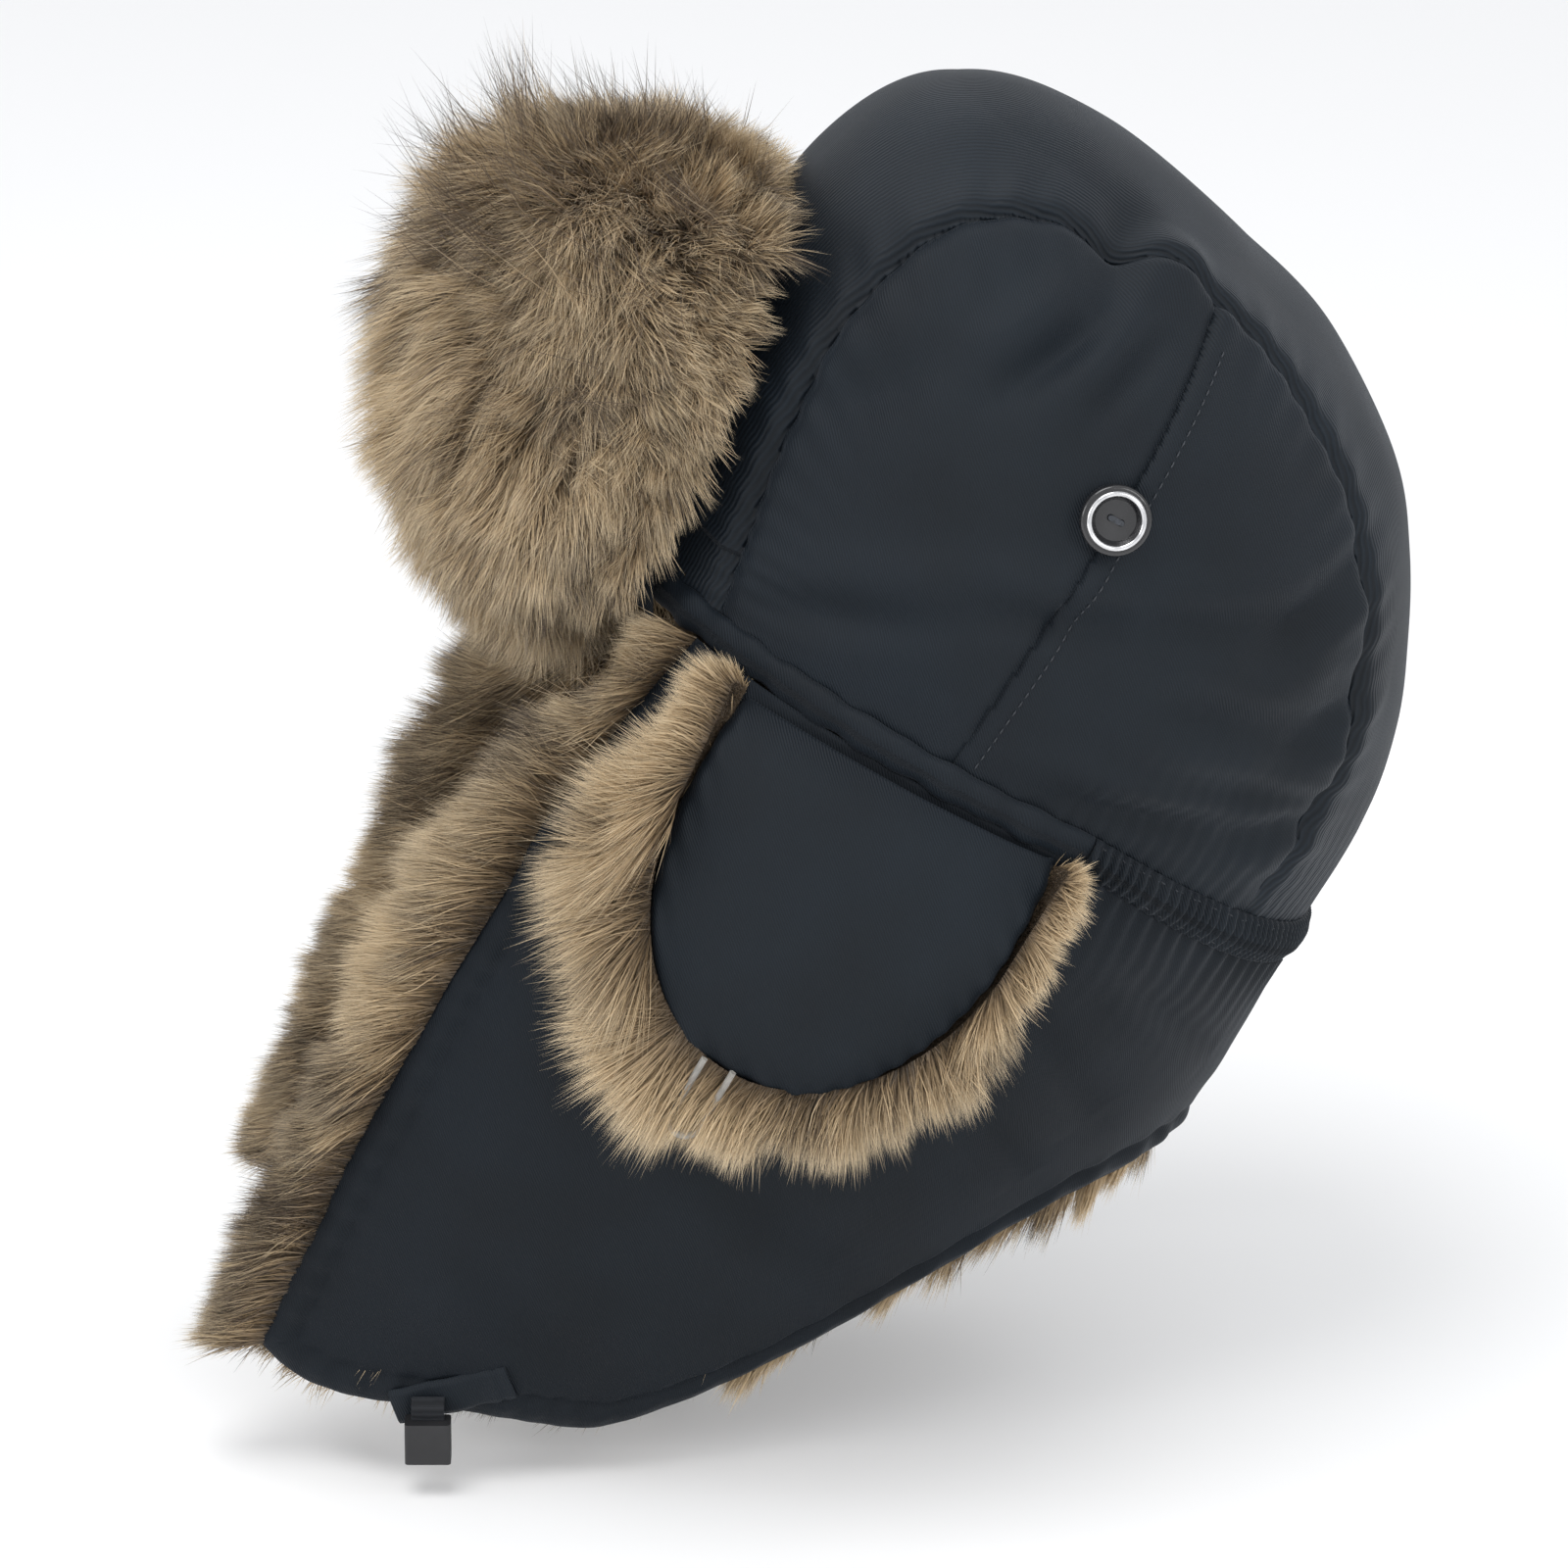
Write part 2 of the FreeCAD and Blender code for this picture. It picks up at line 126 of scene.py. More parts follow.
CROWN = dense(CROWN_OVALS)
CURTAIN = dense(CURTAIN_OVALS)
VISOR = dense(VISOR_OVALS)


def oval_at(stack, level):
    """Middle, half width and half length at each level."""
    return tuple(np.interp(level, stack[:, 0], stack[:, k]) for k in (1, 2, 3))


def on_side(stack, level, turn, grow=0.0):
    """Points at an angle round the oval: turn 0 is the front, pi/2 the wearer's left, pi the back."""
    middle, half_x, half_y = oval_at(stack, level)
    return np.stack([(half_x + grow) * np.sin(turn), middle - (half_y + grow) * np.cos(turn),
                     level + 0 * turn], axis=-1)


def turn_at(stack, level, y, grow=0.0):
    """The angle at which the oval of a level reaches y."""
    middle, _, half_y = oval_at(stack, level)
    return np.arccos(np.clip((middle - y) / (half_y + grow), -1, 1))


print("crown top at", round(float(CROWN[-1, 0]) / MM, 1), "mm above the band")

# %% [markdown]
# ## Soft noise and small mesh helpers
# Cloth never lies quite true. A seeded lattice noise gives gentle unevenness that is the same on every
# run. The helpers turn numpy grids into meshes, with a UV map in metres of cloth, so a weave has the
# same size on every piece.

# %% Noise and meshes
LATTICE = np.random.default_rng(11).uniform(-1, 1, (32, 32, 32))


def soft_noise(points, size, seed=0):
    """Smooth noise from -1 to 1 whose lumps are about size across."""
    q = points / size + seed * 7.31
    cell = np.floor(q).astype(int)
    f = q - cell
    f = f * f * (3 - 2 * f)
    total = np.zeros(points.shape[:-1])
    for corner in np.ndindex(2, 2, 2):
        weight = np.prod(np.where(np.array(corner) == 1, f, 1 - f), axis=-1)
        index = (cell + np.array(corner)) % 32
        total += weight * LATTICE[index[..., 0], index[..., 1], index[..., 2]]
    return total


def worn(points):
    """From the band frame to the upright head."""
    return points @ np.array(TIP_BACK).T


def unit(vectors):
    return vectors / np.maximum(np.linalg.norm(vectors, axis=-1, keepdims=True), 1e-9)


def add_cloth_uv(mesh, uv):
    """Writes one pair for each point into the cloth map."""
    layer = mesh.uv_layers.new(name="cloth")
    loops = np.zeros(len(mesh.loops), int)
    mesh.loops.foreach_get("vertex_index", loops)
    layer.data.foreach_set("uv", uv.reshape(-1, 2)[loops].ravel())


def mesh_piece(name, points, faces, material, uv=None):
    """A mesh object from points in metres; uv has one pair for each point."""
    mesh = bpy.data.meshes.new(name)
    mesh.from_pydata(points.reshape(-1, 3).tolist(), [], [list(map(int, f)) for f in faces])
    if uv is not None:
        add_cloth_uv(mesh, uv)
    mesh.polygons.foreach_set("use_smooth", [True] * len(mesh.polygons))
    mesh.materials.append(material)
    piece = bpy.data.objects.new(name, mesh)
    bpy.context.collection.objects.link(piece)
    return piece


def grid_faces(rows, columns, closed=False):
    """Quads of a grid; closed joins the last column to the first."""
    r, c = np.meshgrid(np.arange(rows - 1), np.arange(columns if closed else columns - 1), indexing="ij")
    n = (c + 1) % columns
    quads = np.stack([r * columns + c, r * columns + n, (r + 1) * columns + n, (r + 1) * columns + c], -1)
    return quads.reshape(-1, 4)


def grid_normals(points):
    """Outward normals of a grid of points, rows upwards and columns from front round to back."""
    across = np.gradient(points, axis=1)
    up = np.gradient(points, axis=0)
    return unit(np.cross(across, up))


def thicken(piece, depth):
    """Cloth thickness, into the hat."""
    solid = piece.modifiers.new("thickness", "SOLIDIFY")
    solid.thickness = depth
    solid.offset = -1.0
    apply_modifiers(piece)


def apply_modifiers(piece):
    graph = bpy.context.evaluated_depsgraph_get()
    flat = bpy.data.meshes.new_from_object(piece.evaluated_get(graph))
    piece.modifiers.clear()
    piece.data = flat


# %% [markdown]
# ## Twill
# Twill is a weave with fine slanting ribs. The ribs are far thinner than any mesh could carry, so a
# shared node group draws them from the cloth's own UV: a sine across the slant, broken by noise. It
# gives a height for the bump and a mask for the colour: uneven tone of the cloth, with the rib crests
# painted lighter as a painted highlight. The soft sheen stays on the shader itself.

# %% Weave group
def noise_of(tree, scale, detail, vector):
    node = tree.nodes.new("ShaderNodeTexNoise")
    node.inputs["Scale"].default_value = scale
    node.inputs["Detail"].default_value = detail
    tree.links.new(vector, node.inputs["Vector"])
    return node.outputs["Fac"]


def math_node(tree, kind, a, b=None):
    node = tree.nodes.new("ShaderNodeMath")
    node.operation = kind
    for socket, value in ((node.inputs[0], a), (node.inputs[1], b)):
        if isinstance(value, (int, float)):
            socket.default_value = value
        elif value is not None:
            tree.links.new(value, socket)
    return node.outputs[0]


def make_weave_group():
    """Ribs per metre and their lean in radians go in; a height, and a mask of uneven tone with painted
    highlight on the rib crests, come out.
    """
    tree = bpy.data.node_groups.new("twill_weave", "ShaderNodeTree")
    for name, default in (("Ribs", 1400.0), ("Lean", 0.9), ("Uneven", 0.5)):
        socket = tree.interface.new_socket(name, in_out="INPUT", socket_type="NodeSocketFloat")
        socket.default_value = default
    for name in ("Height", "Mask"):
        tree.interface.new_socket(name, in_out="OUTPUT", socket_type="NodeSocketFloat")
    inlet = tree.nodes.new("NodeGroupInput")
    outlet = tree.nodes.new("NodeGroupOutput")
    cloth = tree.nodes.new("ShaderNodeUVMap")
    cloth.uv_map = "cloth"
    parts = tree.nodes.new("ShaderNodeSeparateXYZ")
    tree.links.new(cloth.outputs[0], parts.inputs[0])
    lean, ribs = inlet.outputs["Lean"], inlet.outputs["Ribs"]
    across = math_node(tree, "MULTIPLY", parts.outputs[0], math_node(tree, "COSINE", lean))
    along = math_node(tree, "MULTIPLY", parts.outputs[1], math_node(tree, "SINE", lean))
    place = math_node(tree, "ADD", across, along)
    phase = math_node(tree, "MULTIPLY", place, math_node(tree, "MULTIPLY", ribs, math.tau))
    slub = noise_of(tree, 260.0, 3.0, cloth.outputs[0])
    uneven = math_node(tree, "MULTIPLY", inlet.outputs["Uneven"], 6.0)
    jitter = math_node(tree, "MULTIPLY", slub, uneven)
    rib = math_node(tree, "SINE", math_node(tree, "ADD", phase, jitter))
    lifted = math_node(tree, "ADD", math_node(tree, "MULTIPLY", rib, 0.5), 0.5)
    dust = noise_of(tree, 22.0, 6.0, cloth.outputs[0])
    # Painted highlight: the raised crest of each rib is made lighter in colour, where light would catch it;
    # the dust noise is the cloth's uneven tone.
    lit_ribs = math_node(tree, "ADD", math_node(tree, "MULTIPLY", lifted, 0.6), 0.4)
    mask = math_node(tree, "MULTIPLY", dust, lit_ribs)
    tree.links.new(lifted, outlet.inputs["Height"])
    tree.links.new(mask, outlet.inputs["Mask"])
    return tree


WEAVE = make_weave_group()
print("weave group sockets:", [item.name for item in WEAVE.interface.items_tree])


# %% Material helpers
def new_material(name):
    """A material with its Principled shader, ready for nodes."""
    material = bpy.data.materials.new(name)
    material.use_nodes = True
    shader = material.node_tree.nodes["Principled BSDF"]
    return material, material.node_tree, shader


def colour_ramp(tree, factor, stops):
    """A ramp through (position, colour) stops."""
    ramp = tree.nodes.new("ShaderNodeValToRGB")
    while len(ramp.color_ramp.elements) < len(stops):
        ramp.color_ramp.elements.new(0.5)
    for element, (position, colour) in zip(ramp.color_ramp.elements, stops):
        element.position = position
        element.color = (*colour, 1.0)
    tree.links.new(factor, ramp.inputs[0])
    return ramp.outputs[0]


def add_bump(tree, shader, height, distance):
    bump = tree.nodes.new("ShaderNodeBump")
    bump.inputs["Distance"].default_value = distance
    bump.inputs["Strength"].default_value = 1.0
    tree.links.new(height, bump.inputs["Height"])
    tree.links.new(bump.outputs[0], shader.inputs["Normal"])


def cloth_material(name, dark, light, ribs, lean, roughness, relief):
    """Woven cloth: two colours through the weave mask, and the ribs as a bump."""
    material, tree, shader = new_material(name)
    weave = tree.nodes.new("ShaderNodeGroup")
    weave.node_tree = WEAVE
    weave.inputs["Ribs"].default_value = ribs
    weave.inputs["Lean"].default_value = lean
    colour = colour_ramp(tree, weave.outputs["Mask"], ((0.12, dark), (0.62, light)))
    tree.links.new(colour, shader.inputs["Base Color"])
    shader.inputs["Roughness"].default_value = roughness
    shader.inputs["Sheen Weight"].default_value = 0.06
    shader.inputs["Sheen Roughness"].default_value = 0.45
    shader.inputs["Sheen Tint"].default_value = (0.70, 0.76, 0.86, 1.0)
    shader.inputs["Specular IOR Level"].default_value = 0.24
    add_bump(tree, shader, weave.outputs["Height"], relief)
    return material


NAVY_DARK = (0.0016, 0.0036, 0.0062)
NAVY_LIGHT = (0.0062, 0.0115, 0.0180)
SIDE_TWILL = cloth_material("side_twill", NAVY_DARK, NAVY_LIGHT, 1500, 0.85, 0.62, 0.00010)
CENTRE_TWILL = cloth_material("centre_twill", NAVY_DARK, NAVY_LIGHT, 900, 0.12, 0.58, 0.00016)
# Painted shade: the flaps and curtain are the same twill as the crown, drawn darker for the shade they hang
# in.
FLAP_TWILL_SHADED = cloth_material("flap_twill_shaded", (0.0008, 0.0024, 0.0046), (0.0034, 0.0074, 0.0125),
                            1500, 0.85, 0.68, 0.00010)
LINING_CLOTH = cloth_material("lining_cloth", (0.010, 0.010, 0.012), (0.030, 0.030, 0.034),
                              2200, 0.8, 0.5, 0.00005)
WEBBING_CLOTH = cloth_material("webbing_cloth", (0.006, 0.007, 0.009), (0.022, 0.024, 0.028),
                               620, 1.57, 0.7, 0.00022)

# %% [markdown]
# ## Fur
# The pile is real hair here: each hair is a thin tapered ribbon. Its UV holds its own shade across and
# the way from root to tip along, so one ramp can give dark roots, tan lengths and pale or black tips.
# The dark roots are partly the fur's own colour and partly painted shade deep in the pile. The map is
# called OFBake. The hide below is dark, like the matted underfur and the painted shade at the roots.

# %% Fur materials
def pile_material():
    material, tree, shader = new_material("fur_pile")
    hair = tree.nodes.new("ShaderNodeUVMap")
    hair.uv_map = "OFBake"
    parts = tree.nodes.new("ShaderNodeSeparateXYZ")
    tree.links.new(hair.outputs[0], parts.inputs[0])
    shade, height = parts.outputs[0], parts.outputs[1]
    # Both ramps start dark at the root: partly the fur's own colour, partly painted shade deep in the pile.
    tan = colour_ramp(tree, height, ((0.0, (0.070, 0.046, 0.025)), (0.30, (0.290, 0.202, 0.110)),
                                     (0.70, (0.560, 0.420, 0.250)), (1.0, (0.720, 0.590, 0.400))))
    brown = colour_ramp(tree, height, ((0.0, (0.030, 0.021, 0.013)), (0.45, (0.120, 0.082, 0.048)),
                                       (0.80, (0.066, 0.046, 0.031)), (1.0, (0.018, 0.014, 0.012))))
    mix = tree.nodes.new("ShaderNodeMix")
    mix.data_type = "RGBA"
    kind = colour_ramp(tree, shade, ((0.0, (0, 0, 0)), (0.26, (0, 0, 0)), (0.50, (0.75, 0.75, 0.75)),
                                     (1.0, (1, 1, 1))))
    tree.links.new(kind, mix.inputs["Factor"])
    tree.links.new(brown, mix.inputs["A"])
    tree.links.new(tan, mix.inputs["B"])
    tree.links.new(mix.outputs["Result"], shader.inputs["Base Color"])
    shader.inputs["Roughness"].default_value = 0.5
    shader.inputs["Specular IOR Level"].default_value = 0.35
    shader.inputs["Sheen Weight"].default_value = 0.12
    return material


def hide_material():
    material, tree, shader = new_material("fur_hide")
    place = tree.nodes.new("ShaderNodeTexCoord")
    strands = noise_of(tree, 420.0, 5.0, place.outputs["Object"])
    patches = noise_of(tree, 60.0, 4.0, place.outputs["Object"])
    both = math_node(tree, "MULTIPLY", strands, patches)
    # Painted shade: the hide's dark browns are partly the underfur's colour and partly the shade deep in the
    # pile.
    colour = colour_ramp(tree, both, ((0.12, (0.035, 0.024, 0.014)), (0.42, (0.155, 0.108, 0.060))))
    tree.links.new(colour, shader.inputs["Base Color"])
    shader.inputs["Roughness"].default_value = 0.85
    add_bump(tree, shader, strands, 0.0012)
    return material


PILE = pile_material()
HIDE = hide_material()

# %% [markdown]
# ## Hard and clear finishes
# The button is turned black plastic with a bright ring pressed into it. The loop is clear elastic, the
# buckle a moulded black plastic with a faint grain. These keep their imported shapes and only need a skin.


# %% Plastic, metal and elastic
def plastic_material(name, colour, roughness, coat):
    material, tree, shader = new_material(name)
    place = tree.nodes.new("ShaderNodeTexCoord")
    smudge = noise_of(tree, 90.0, 5.0, place.outputs["Object"])
    lighter = tuple(min(1.0, c * 1.9 + 0.004) for c in colour)
    tree.links.new(colour_ramp(tree, smudge, ((0.35, colour), (0.75, lighter))), shader.inputs["Base Color"])
    span = tree.nodes.new("ShaderNodeMapRange")
    span.inputs["To Min"].default_value = roughness
    span.inputs["To Max"].default_value = roughness + 0.22
    tree.links.new(smudge, span.inputs["Value"])
    tree.links.new(span.outputs[0], shader.inputs["Roughness"])
    shader.inputs["Coat Weight"].default_value = coat
    add_bump(tree, shader, noise_of(tree, 1800.0, 2.0, place.outputs["Object"]), 0.00004)
    return material


def clouded_finish(name, scale, detail, colours, grain, **values):
    """One noise clouds the colour and is the grain; values go on the shader's own sockets."""
    material, tree, shader = new_material(name)
    place = tree.nodes.new("ShaderNodeTexCoord")
    cloud = noise_of(tree, scale, detail, place.outputs["Object"])
    stops = ((0.3, colours[0]), (0.7, colours[1]))
    tree.links.new(colour_ramp(tree, cloud, stops), shader.inputs["Base Color"])
    for socket, value in values.items():
        shader.inputs[socket.replace("_", " ")].default_value = value
    add_bump(tree, shader, cloud, grain)
    return material


BUTTON_BLACK = plastic_material("button_black", (0.006, 0.006, 0.007), 0.16, 0.5)
BUCKLE_BLACK = plastic_material("buckle_black", (0.009, 0.009, 0.010), 0.42, 0.0)
RING = clouded_finish("bright_ring", 300.0, 4.0, ((0.55, 0.55, 0.56), (0.83, 0.83, 0.84)), 0.00003,
                      Metallic=1.0, Roughness=0.2)
ELASTIC = clouded_finish("clear_elastic", 500.0, 3.0, ((0.62, 0.60, 0.55), (0.86, 0.85, 0.82)), 0.00005,
                         Transmission_Weight=0.75, Roughness=0.28, IOR=1.42)
THREAD = clouded_finish("sewing_thread", 2500.0, 2.0, ((0.008, 0.010, 0.014), (0.040, 0.046, 0.056)),
                        0.00008, Roughness=0.6)
NODE_FINISH = {"side_button": BUTTON_BLACK, "button_ring": RING, "button_thread": THREAD,
               "elastic_loop": ELASTIC, "buckle": BUCKLE_BLACK, "nape_elastic": WEBBING_CLOTH}
for node_name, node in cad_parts.items():
    for start, finish in NODE_FINISH.items():
        if node_name.startswith(start):
            node.data.materials.clear()
            node.data.materials.append(finish)
print("materials:", len(bpy.data.materials))

# %% [markdown]
# ## How the crown cloth lies
# Sewn twill over wadding shows three things: a valley along each seam with the cloth puffed beside it,
# short puckers running off the seam, and a few long soft creases. Each is a small height added along
# the surface normal. Writing them as formulas over the whole crown keeps neighbouring panels matched
# at their shared seam, which panel by panel sculpting would not.


# %% Creases and puckers
def to_segment(y, z, start, end):
    """Distance from a line in the side view, and how far along it, from 0 to 1."""
    (ay, az), (by, bz) = start, end
    dy, dz = (by - ay) * MM, (bz - az) * MM
    t = np.clip(((y - ay * MM) * dy + (z - az * MM) * dz) / (dy * dy + dz * dz), 0, 1)
    off = ((y - ay * MM) * dz - (z - az * MM) * dy) / math.hypot(dy, dz)
    return np.hypot(y - ay * MM - t * dy, z - az * MM - t * dz), off, t


CREASES = (        # from (Y, Z), to (Y, Z), valley width, depth, all in mm
    ((-78, 10), (-26, 40), 6.0, 2.4), ((-30, 42), (12, 62), 5.5, 3.4), ((8, 60), (52, 80), 5.0, 2.2),
    ((10, 8), (62, 19), 4.5, 4.0), ((19, 45), (70, 52), 5.5, 2.8), ((-52, 92), (-36, 124), 5.0, 4.2),
    ((-28, 98), (-18, 130), 4.5, 2.8), ((58, 100), (44, 66), 5.5, 3.0), ((82, 80), (64, 42), 5.5, 3.0),
    ((88, 32), (60, 14), 5.0, 3.0), ((-88, 60), (-60, 100), 7.0, 2.4), ((34, 26), (84, 36), 4.0, 2.0))
TOP_SINK = 4.5 * MM          # the wadding has settled at the very top
SEAM_LEAN = 5.0 / 140.0      # how far the side seam leans back for each step up
SEAM_FOOT = -13 * MM


def crown_relief(p):
    """Height of the crown cloth over the smooth dome, in metres."""
    x, y, z = p[..., 0], p[..., 1], p[..., 2]
    h = 0.0016 * soft_noise(p, 0.055, 1) + 0.0008 * soft_noise(p, 0.022, 2)
    from_seam = np.abs(x) - PANEL_HALF
    low = np.clip((z - 0.002) / 0.02, 0, 1)
    round_arc = np.arctan2(z - 0.02, y + 0.01) * 0.11
    pucker = np.sin(round_arc / 0.011 * math.tau + 3.0 * soft_noise(p, 0.03, 3))
    near = np.exp(-(from_seam / 0.011) ** 2)
    h += near * (0.0015 + 0.0004 * pucker) - 0.0034 * np.exp(-(from_seam / 0.0020) ** 2)
    h -= TOP_SINK * np.clip((z - 0.105) / 0.045, 0, 1) ** 1.5
    side_seam = y - SEAM_FOOT - z * SEAM_LEAN
    beside = np.exp(-((side_seam - 0.004) / 0.006) ** 2) * (from_seam > 0)
    h += 0.0007 * beside - 0.0016 * np.exp(-(side_seam / 0.0013) ** 2) * (from_seam > 0)
    h += 0.0004 * np.exp(-(side_seam / 0.012) ** 2) * soft_noise(p, 0.008, 7) * (from_seam > 0)
    outer = np.clip((np.abs(x) - 0.045) / 0.02, 0, 1)
    for start, end, width, depth in CREASES:
        gap, off, t = to_segment(y, z, start, end)
        w = width * MM
        fade = np.sin(np.clip(t, 0.04, 0.96) * math.pi) ** 0.6
        h += outer * fade * depth * MM * (-np.exp(-(gap / w) ** 2)
                                          + 0.7 * np.exp(-((np.abs(off) - 1.9 * w) / (1.3 * w)) ** 2)
                                          * np.exp(-np.maximum(gap - 3 * w, 0) / w) * (off < 0))
    gather = np.exp(-np.maximum(z - band_top(y), 0) / 0.012)
    h += gather * (y > SPLIT_Y * 0.6) * 0.0011 * np.sin(np.arctan2(x, -y) / 0.055 * math.tau
                                                        + 2 * soft_noise(p, 0.02, 5))
    return h * (0.35 + 0.65 * low)


def band_top(y):
    """The line where the crown meets the band; it dips towards the nape."""
    return np.interp(y, [-0.2, SPLIT_Y, 0.120, 0.2], [0.004, 0.004, -0.008, -0.008])


def seam_wander(p):
    """The seams are sewn by hand and eye: a small sideways drift, and the notch over each ear."""
    x, y, z = p[..., 0], p[..., 1], p[..., 2]
    high = np.clip((z - 0.02) / 0.03, 0, 1)
    notch = 0.006 * np.exp(-((y + 0.038) / 0.008) ** 2) - 0.0035 * np.exp(-((y + 0.020) / 0.010) ** 2)
    drift = 0.0016 * soft_noise(np.stack([y, z, 0 * y], -1), 0.028, 6) + notch * (z > 0.09)
    out = p.copy()
    out[..., 2] -= high * drift * np.exp(-((np.abs(x) - PANEL_HALF) / 0.014) ** 2)
    return out


# %% [markdown]
# ## Crown panels
# One fine grid covers the whole dome. Each panel is a copy of it cut by the seam planes, which gives
# clean sewn edges and keeps every panel its own piece. The alternative, a separate grid for each panel,
# would need its edges matched by hand.

# %% Crown grid
CROWN_ROWS, CROWN_TURNS = 210, 460
turns = np.linspace(0, math.tau, CROWN_TURNS, endpoint=False)
stack_place = np.linspace(0, 1, CROWN_ROWS) ** 0.96 * (len(CROWN) - 1)
ring = CROWN[np.clip(stack_place.round().astype(int), 0, len(CROWN) - 1)]
SMOOTH_DOME = np.stack([ring[:, 2:3] * np.sin(turns), ring[:, 1:2] - ring[:, 3:4] * np.cos(turns),
                        ring[:, 0:1] + 0 * turns], -1)


def dome_uv(points, flat_across):
    """Metres of cloth: round the head and up it."""
    around = points[..., 0] if flat_across else points[..., 1]
    up = np.arctan2(points[..., 2] - 0.02, points[..., 1] + 0.01) * 0.12 if flat_across else points[..., 2]
    return np.stack([around, up], -1)


def cut_by(mesh_edit, point, normal):
    """Drops what lies on the normal's side of a plane."""
    everything = mesh_edit.verts[:] + mesh_edit.edges[:] + mesh_edit.faces[:]
    bmesh.ops.bisect_plane(mesh_edit, geom=everything, plane_co=point, plane_no=normal, clear_outer=True)


SIDE_SEAM_POINT = (0, SEAM_FOOT, 0)
SIDE_SEAM_NORMAL = Vector((0, 1, -SEAM_LEAN)).normalized()


def crown_panel(name, cuts, material, flat_across):
    """A panel cut from the smooth dome by planes, then given its relief."""
    piece = mesh_piece(name, SMOOTH_DOME, grid_faces(CROWN_ROWS, CROWN_TURNS, True), material)
    edit = bmesh.new()
    edit.from_mesh(piece.data)
    for point, normal in cuts:
        cut_by(edit, point, normal)
    below = [f for f in edit.faces
             if max(v.co.z - float(band_top(np.array(v.co.y))) for v in f.verts) < 0]
    bmesh.ops.delete(edit, geom=below, context="FACES")
    for v in edit.verts:
        v.co.z = max(v.co.z, float(band_top(np.array(v.co.y))) - 0.001)
    edit.to_mesh(piece.data)
    edit.free()
    count = len(piece.data.vertices)
    flat = np.zeros(count * 3)
    piece.data.vertices.foreach_get("co", flat)
    p = flat.reshape(-1, 3)
    shaped = seam_wander(p) + dome_normal(p) * crown_relief(p)[:, None]
    uv = dome_uv(p, flat_across)
    piece.data.vertices.foreach_set("co", worn(shaped).ravel())
    add_cloth_uv(piece.data, uv)
    piece.data.update()
    thicken(piece, TWILL_THICK)
    return piece


def dome_normal(p):
    """Normal of the smooth dome at a point on it, from how its ovals shrink with height."""
    middle, half_x, half_y = oval_at(CROWN, p[:, 2])
    step = 0.0015
    upper = oval_at(CROWN, np.minimum(p[:, 2] + step, CROWN[-1, 0]))
    lower = oval_at(CROWN, p[:, 2] - step)

    def field(m, a, b):
        return np.sqrt((p[:, 0] / a) ** 2 + ((p[:, 1] - m) / b) ** 2)
    rise = (field(*upper) - field(*lower)) / (2 * step)
    f = np.maximum(field(middle, half_x, half_y), 1e-6)
    grad = unit(np.stack([p[:, 0] / half_x ** 2 / f, (p[:, 1] - middle) / half_y ** 2 / f, rise], -1))
    pole = np.clip((p[:, 2:] - 0.146) / 0.012, 0, 1)
    return unit(grad * (1 - pole) + np.array([0, 0, 1.0]) * pole)


# %% Sew the five panels
X_SEAM = (PANEL_HALF, 0, 0)
crown_pieces = [crown_panel("centre_panel", ((X_SEAM, (1, 0, 0)), ((-PANEL_HALF, 0, 0), (-1, 0, 0))),
                            CENTRE_TWILL, True)]
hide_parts("crown_centre_panel")
for hand, sign in (("left", 1), ("right", -1)):
    seam_cut = ((sign * PANEL_HALF, 0, 0), (-sign, 0, 0))
    front_cuts = (seam_cut, (SIDE_SEAM_POINT, SIDE_SEAM_NORMAL))
    rear_cuts = (seam_cut, (SIDE_SEAM_POINT, -SIDE_SEAM_NORMAL))
    ahead = crown_panel(f"side_front_{hand}", front_cuts, SIDE_TWILL, False)
    behind = crown_panel(f"side_rear_{hand}", rear_cuts, SIDE_TWILL, False)
    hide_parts(f"crown_side_front_{hand}")
    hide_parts(f"crown_side_rear_{hand}")
    crown_pieces += [ahead, behind]
for piece in crown_pieces:
    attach(piece, "crown")
    print(piece.name, len(piece.data.polygons), "faces")

# %% [markdown]
# ## Band and nape casing
# The band is twill folded over the lower edge of the crown. At the nape it widens into a casing round a
# stretched elastic, so the cloth there gathers into small ribs. Both are a rounded section swept round
# the ovals; the gathers are a ripple in that section, which a flat strip with a bump could not show
# at its edges.


# %% Swept strips
def swept_strip(name, turns_along, section, material):
    """A closed section swept round the hat. section(turn) gives rows of (grow, level)."""
    rows = [section(t) for t in turns_along]
    p = np.array([[on_side(CROWN, level, np.array(t), grow) for grow, level in row]
                  for t, row in zip(turns_along, rows)])
    around = np.concatenate([[0], np.cumsum(np.linalg.norm(np.diff(p.mean(1), axis=0), axis=1))])
    uv = np.stack([np.repeat(around[:, None], p.shape[1], 1),
                   np.tile(np.linspace(0, 0.02, p.shape[1]), (len(p), 1))], -1)
    faces = [list(q) for q in grid_faces(len(p), p.shape[1], True)]
    n = p.shape[1]
    faces += [list(range(n))[::-1], [(len(p) - 1) * n + i for i in range(n)]]
    return mesh_piece(name, worn(p), faces, material, uv)


def band_section(turn, steps=14):
    """A flat oval: the fold stands proud, thinner at its edges, with a stitched groove."""
    wobble = 0.0003 * math.sin(turn * 31) + 0.0003 * math.sin(turn * 57 + 1)
    rows = []
    for k in range(steps):
        a = math.tau * k / steps
        groove = 0.0005 * math.exp(-((math.sin(a) + 0.55) / 0.16) ** 2) * (math.cos(a) > 0)
        rows.append((0.0006 + 0.0019 * math.cos(a) + wobble - groove, (0.0048 + wobble) * math.sin(a)))
    return rows


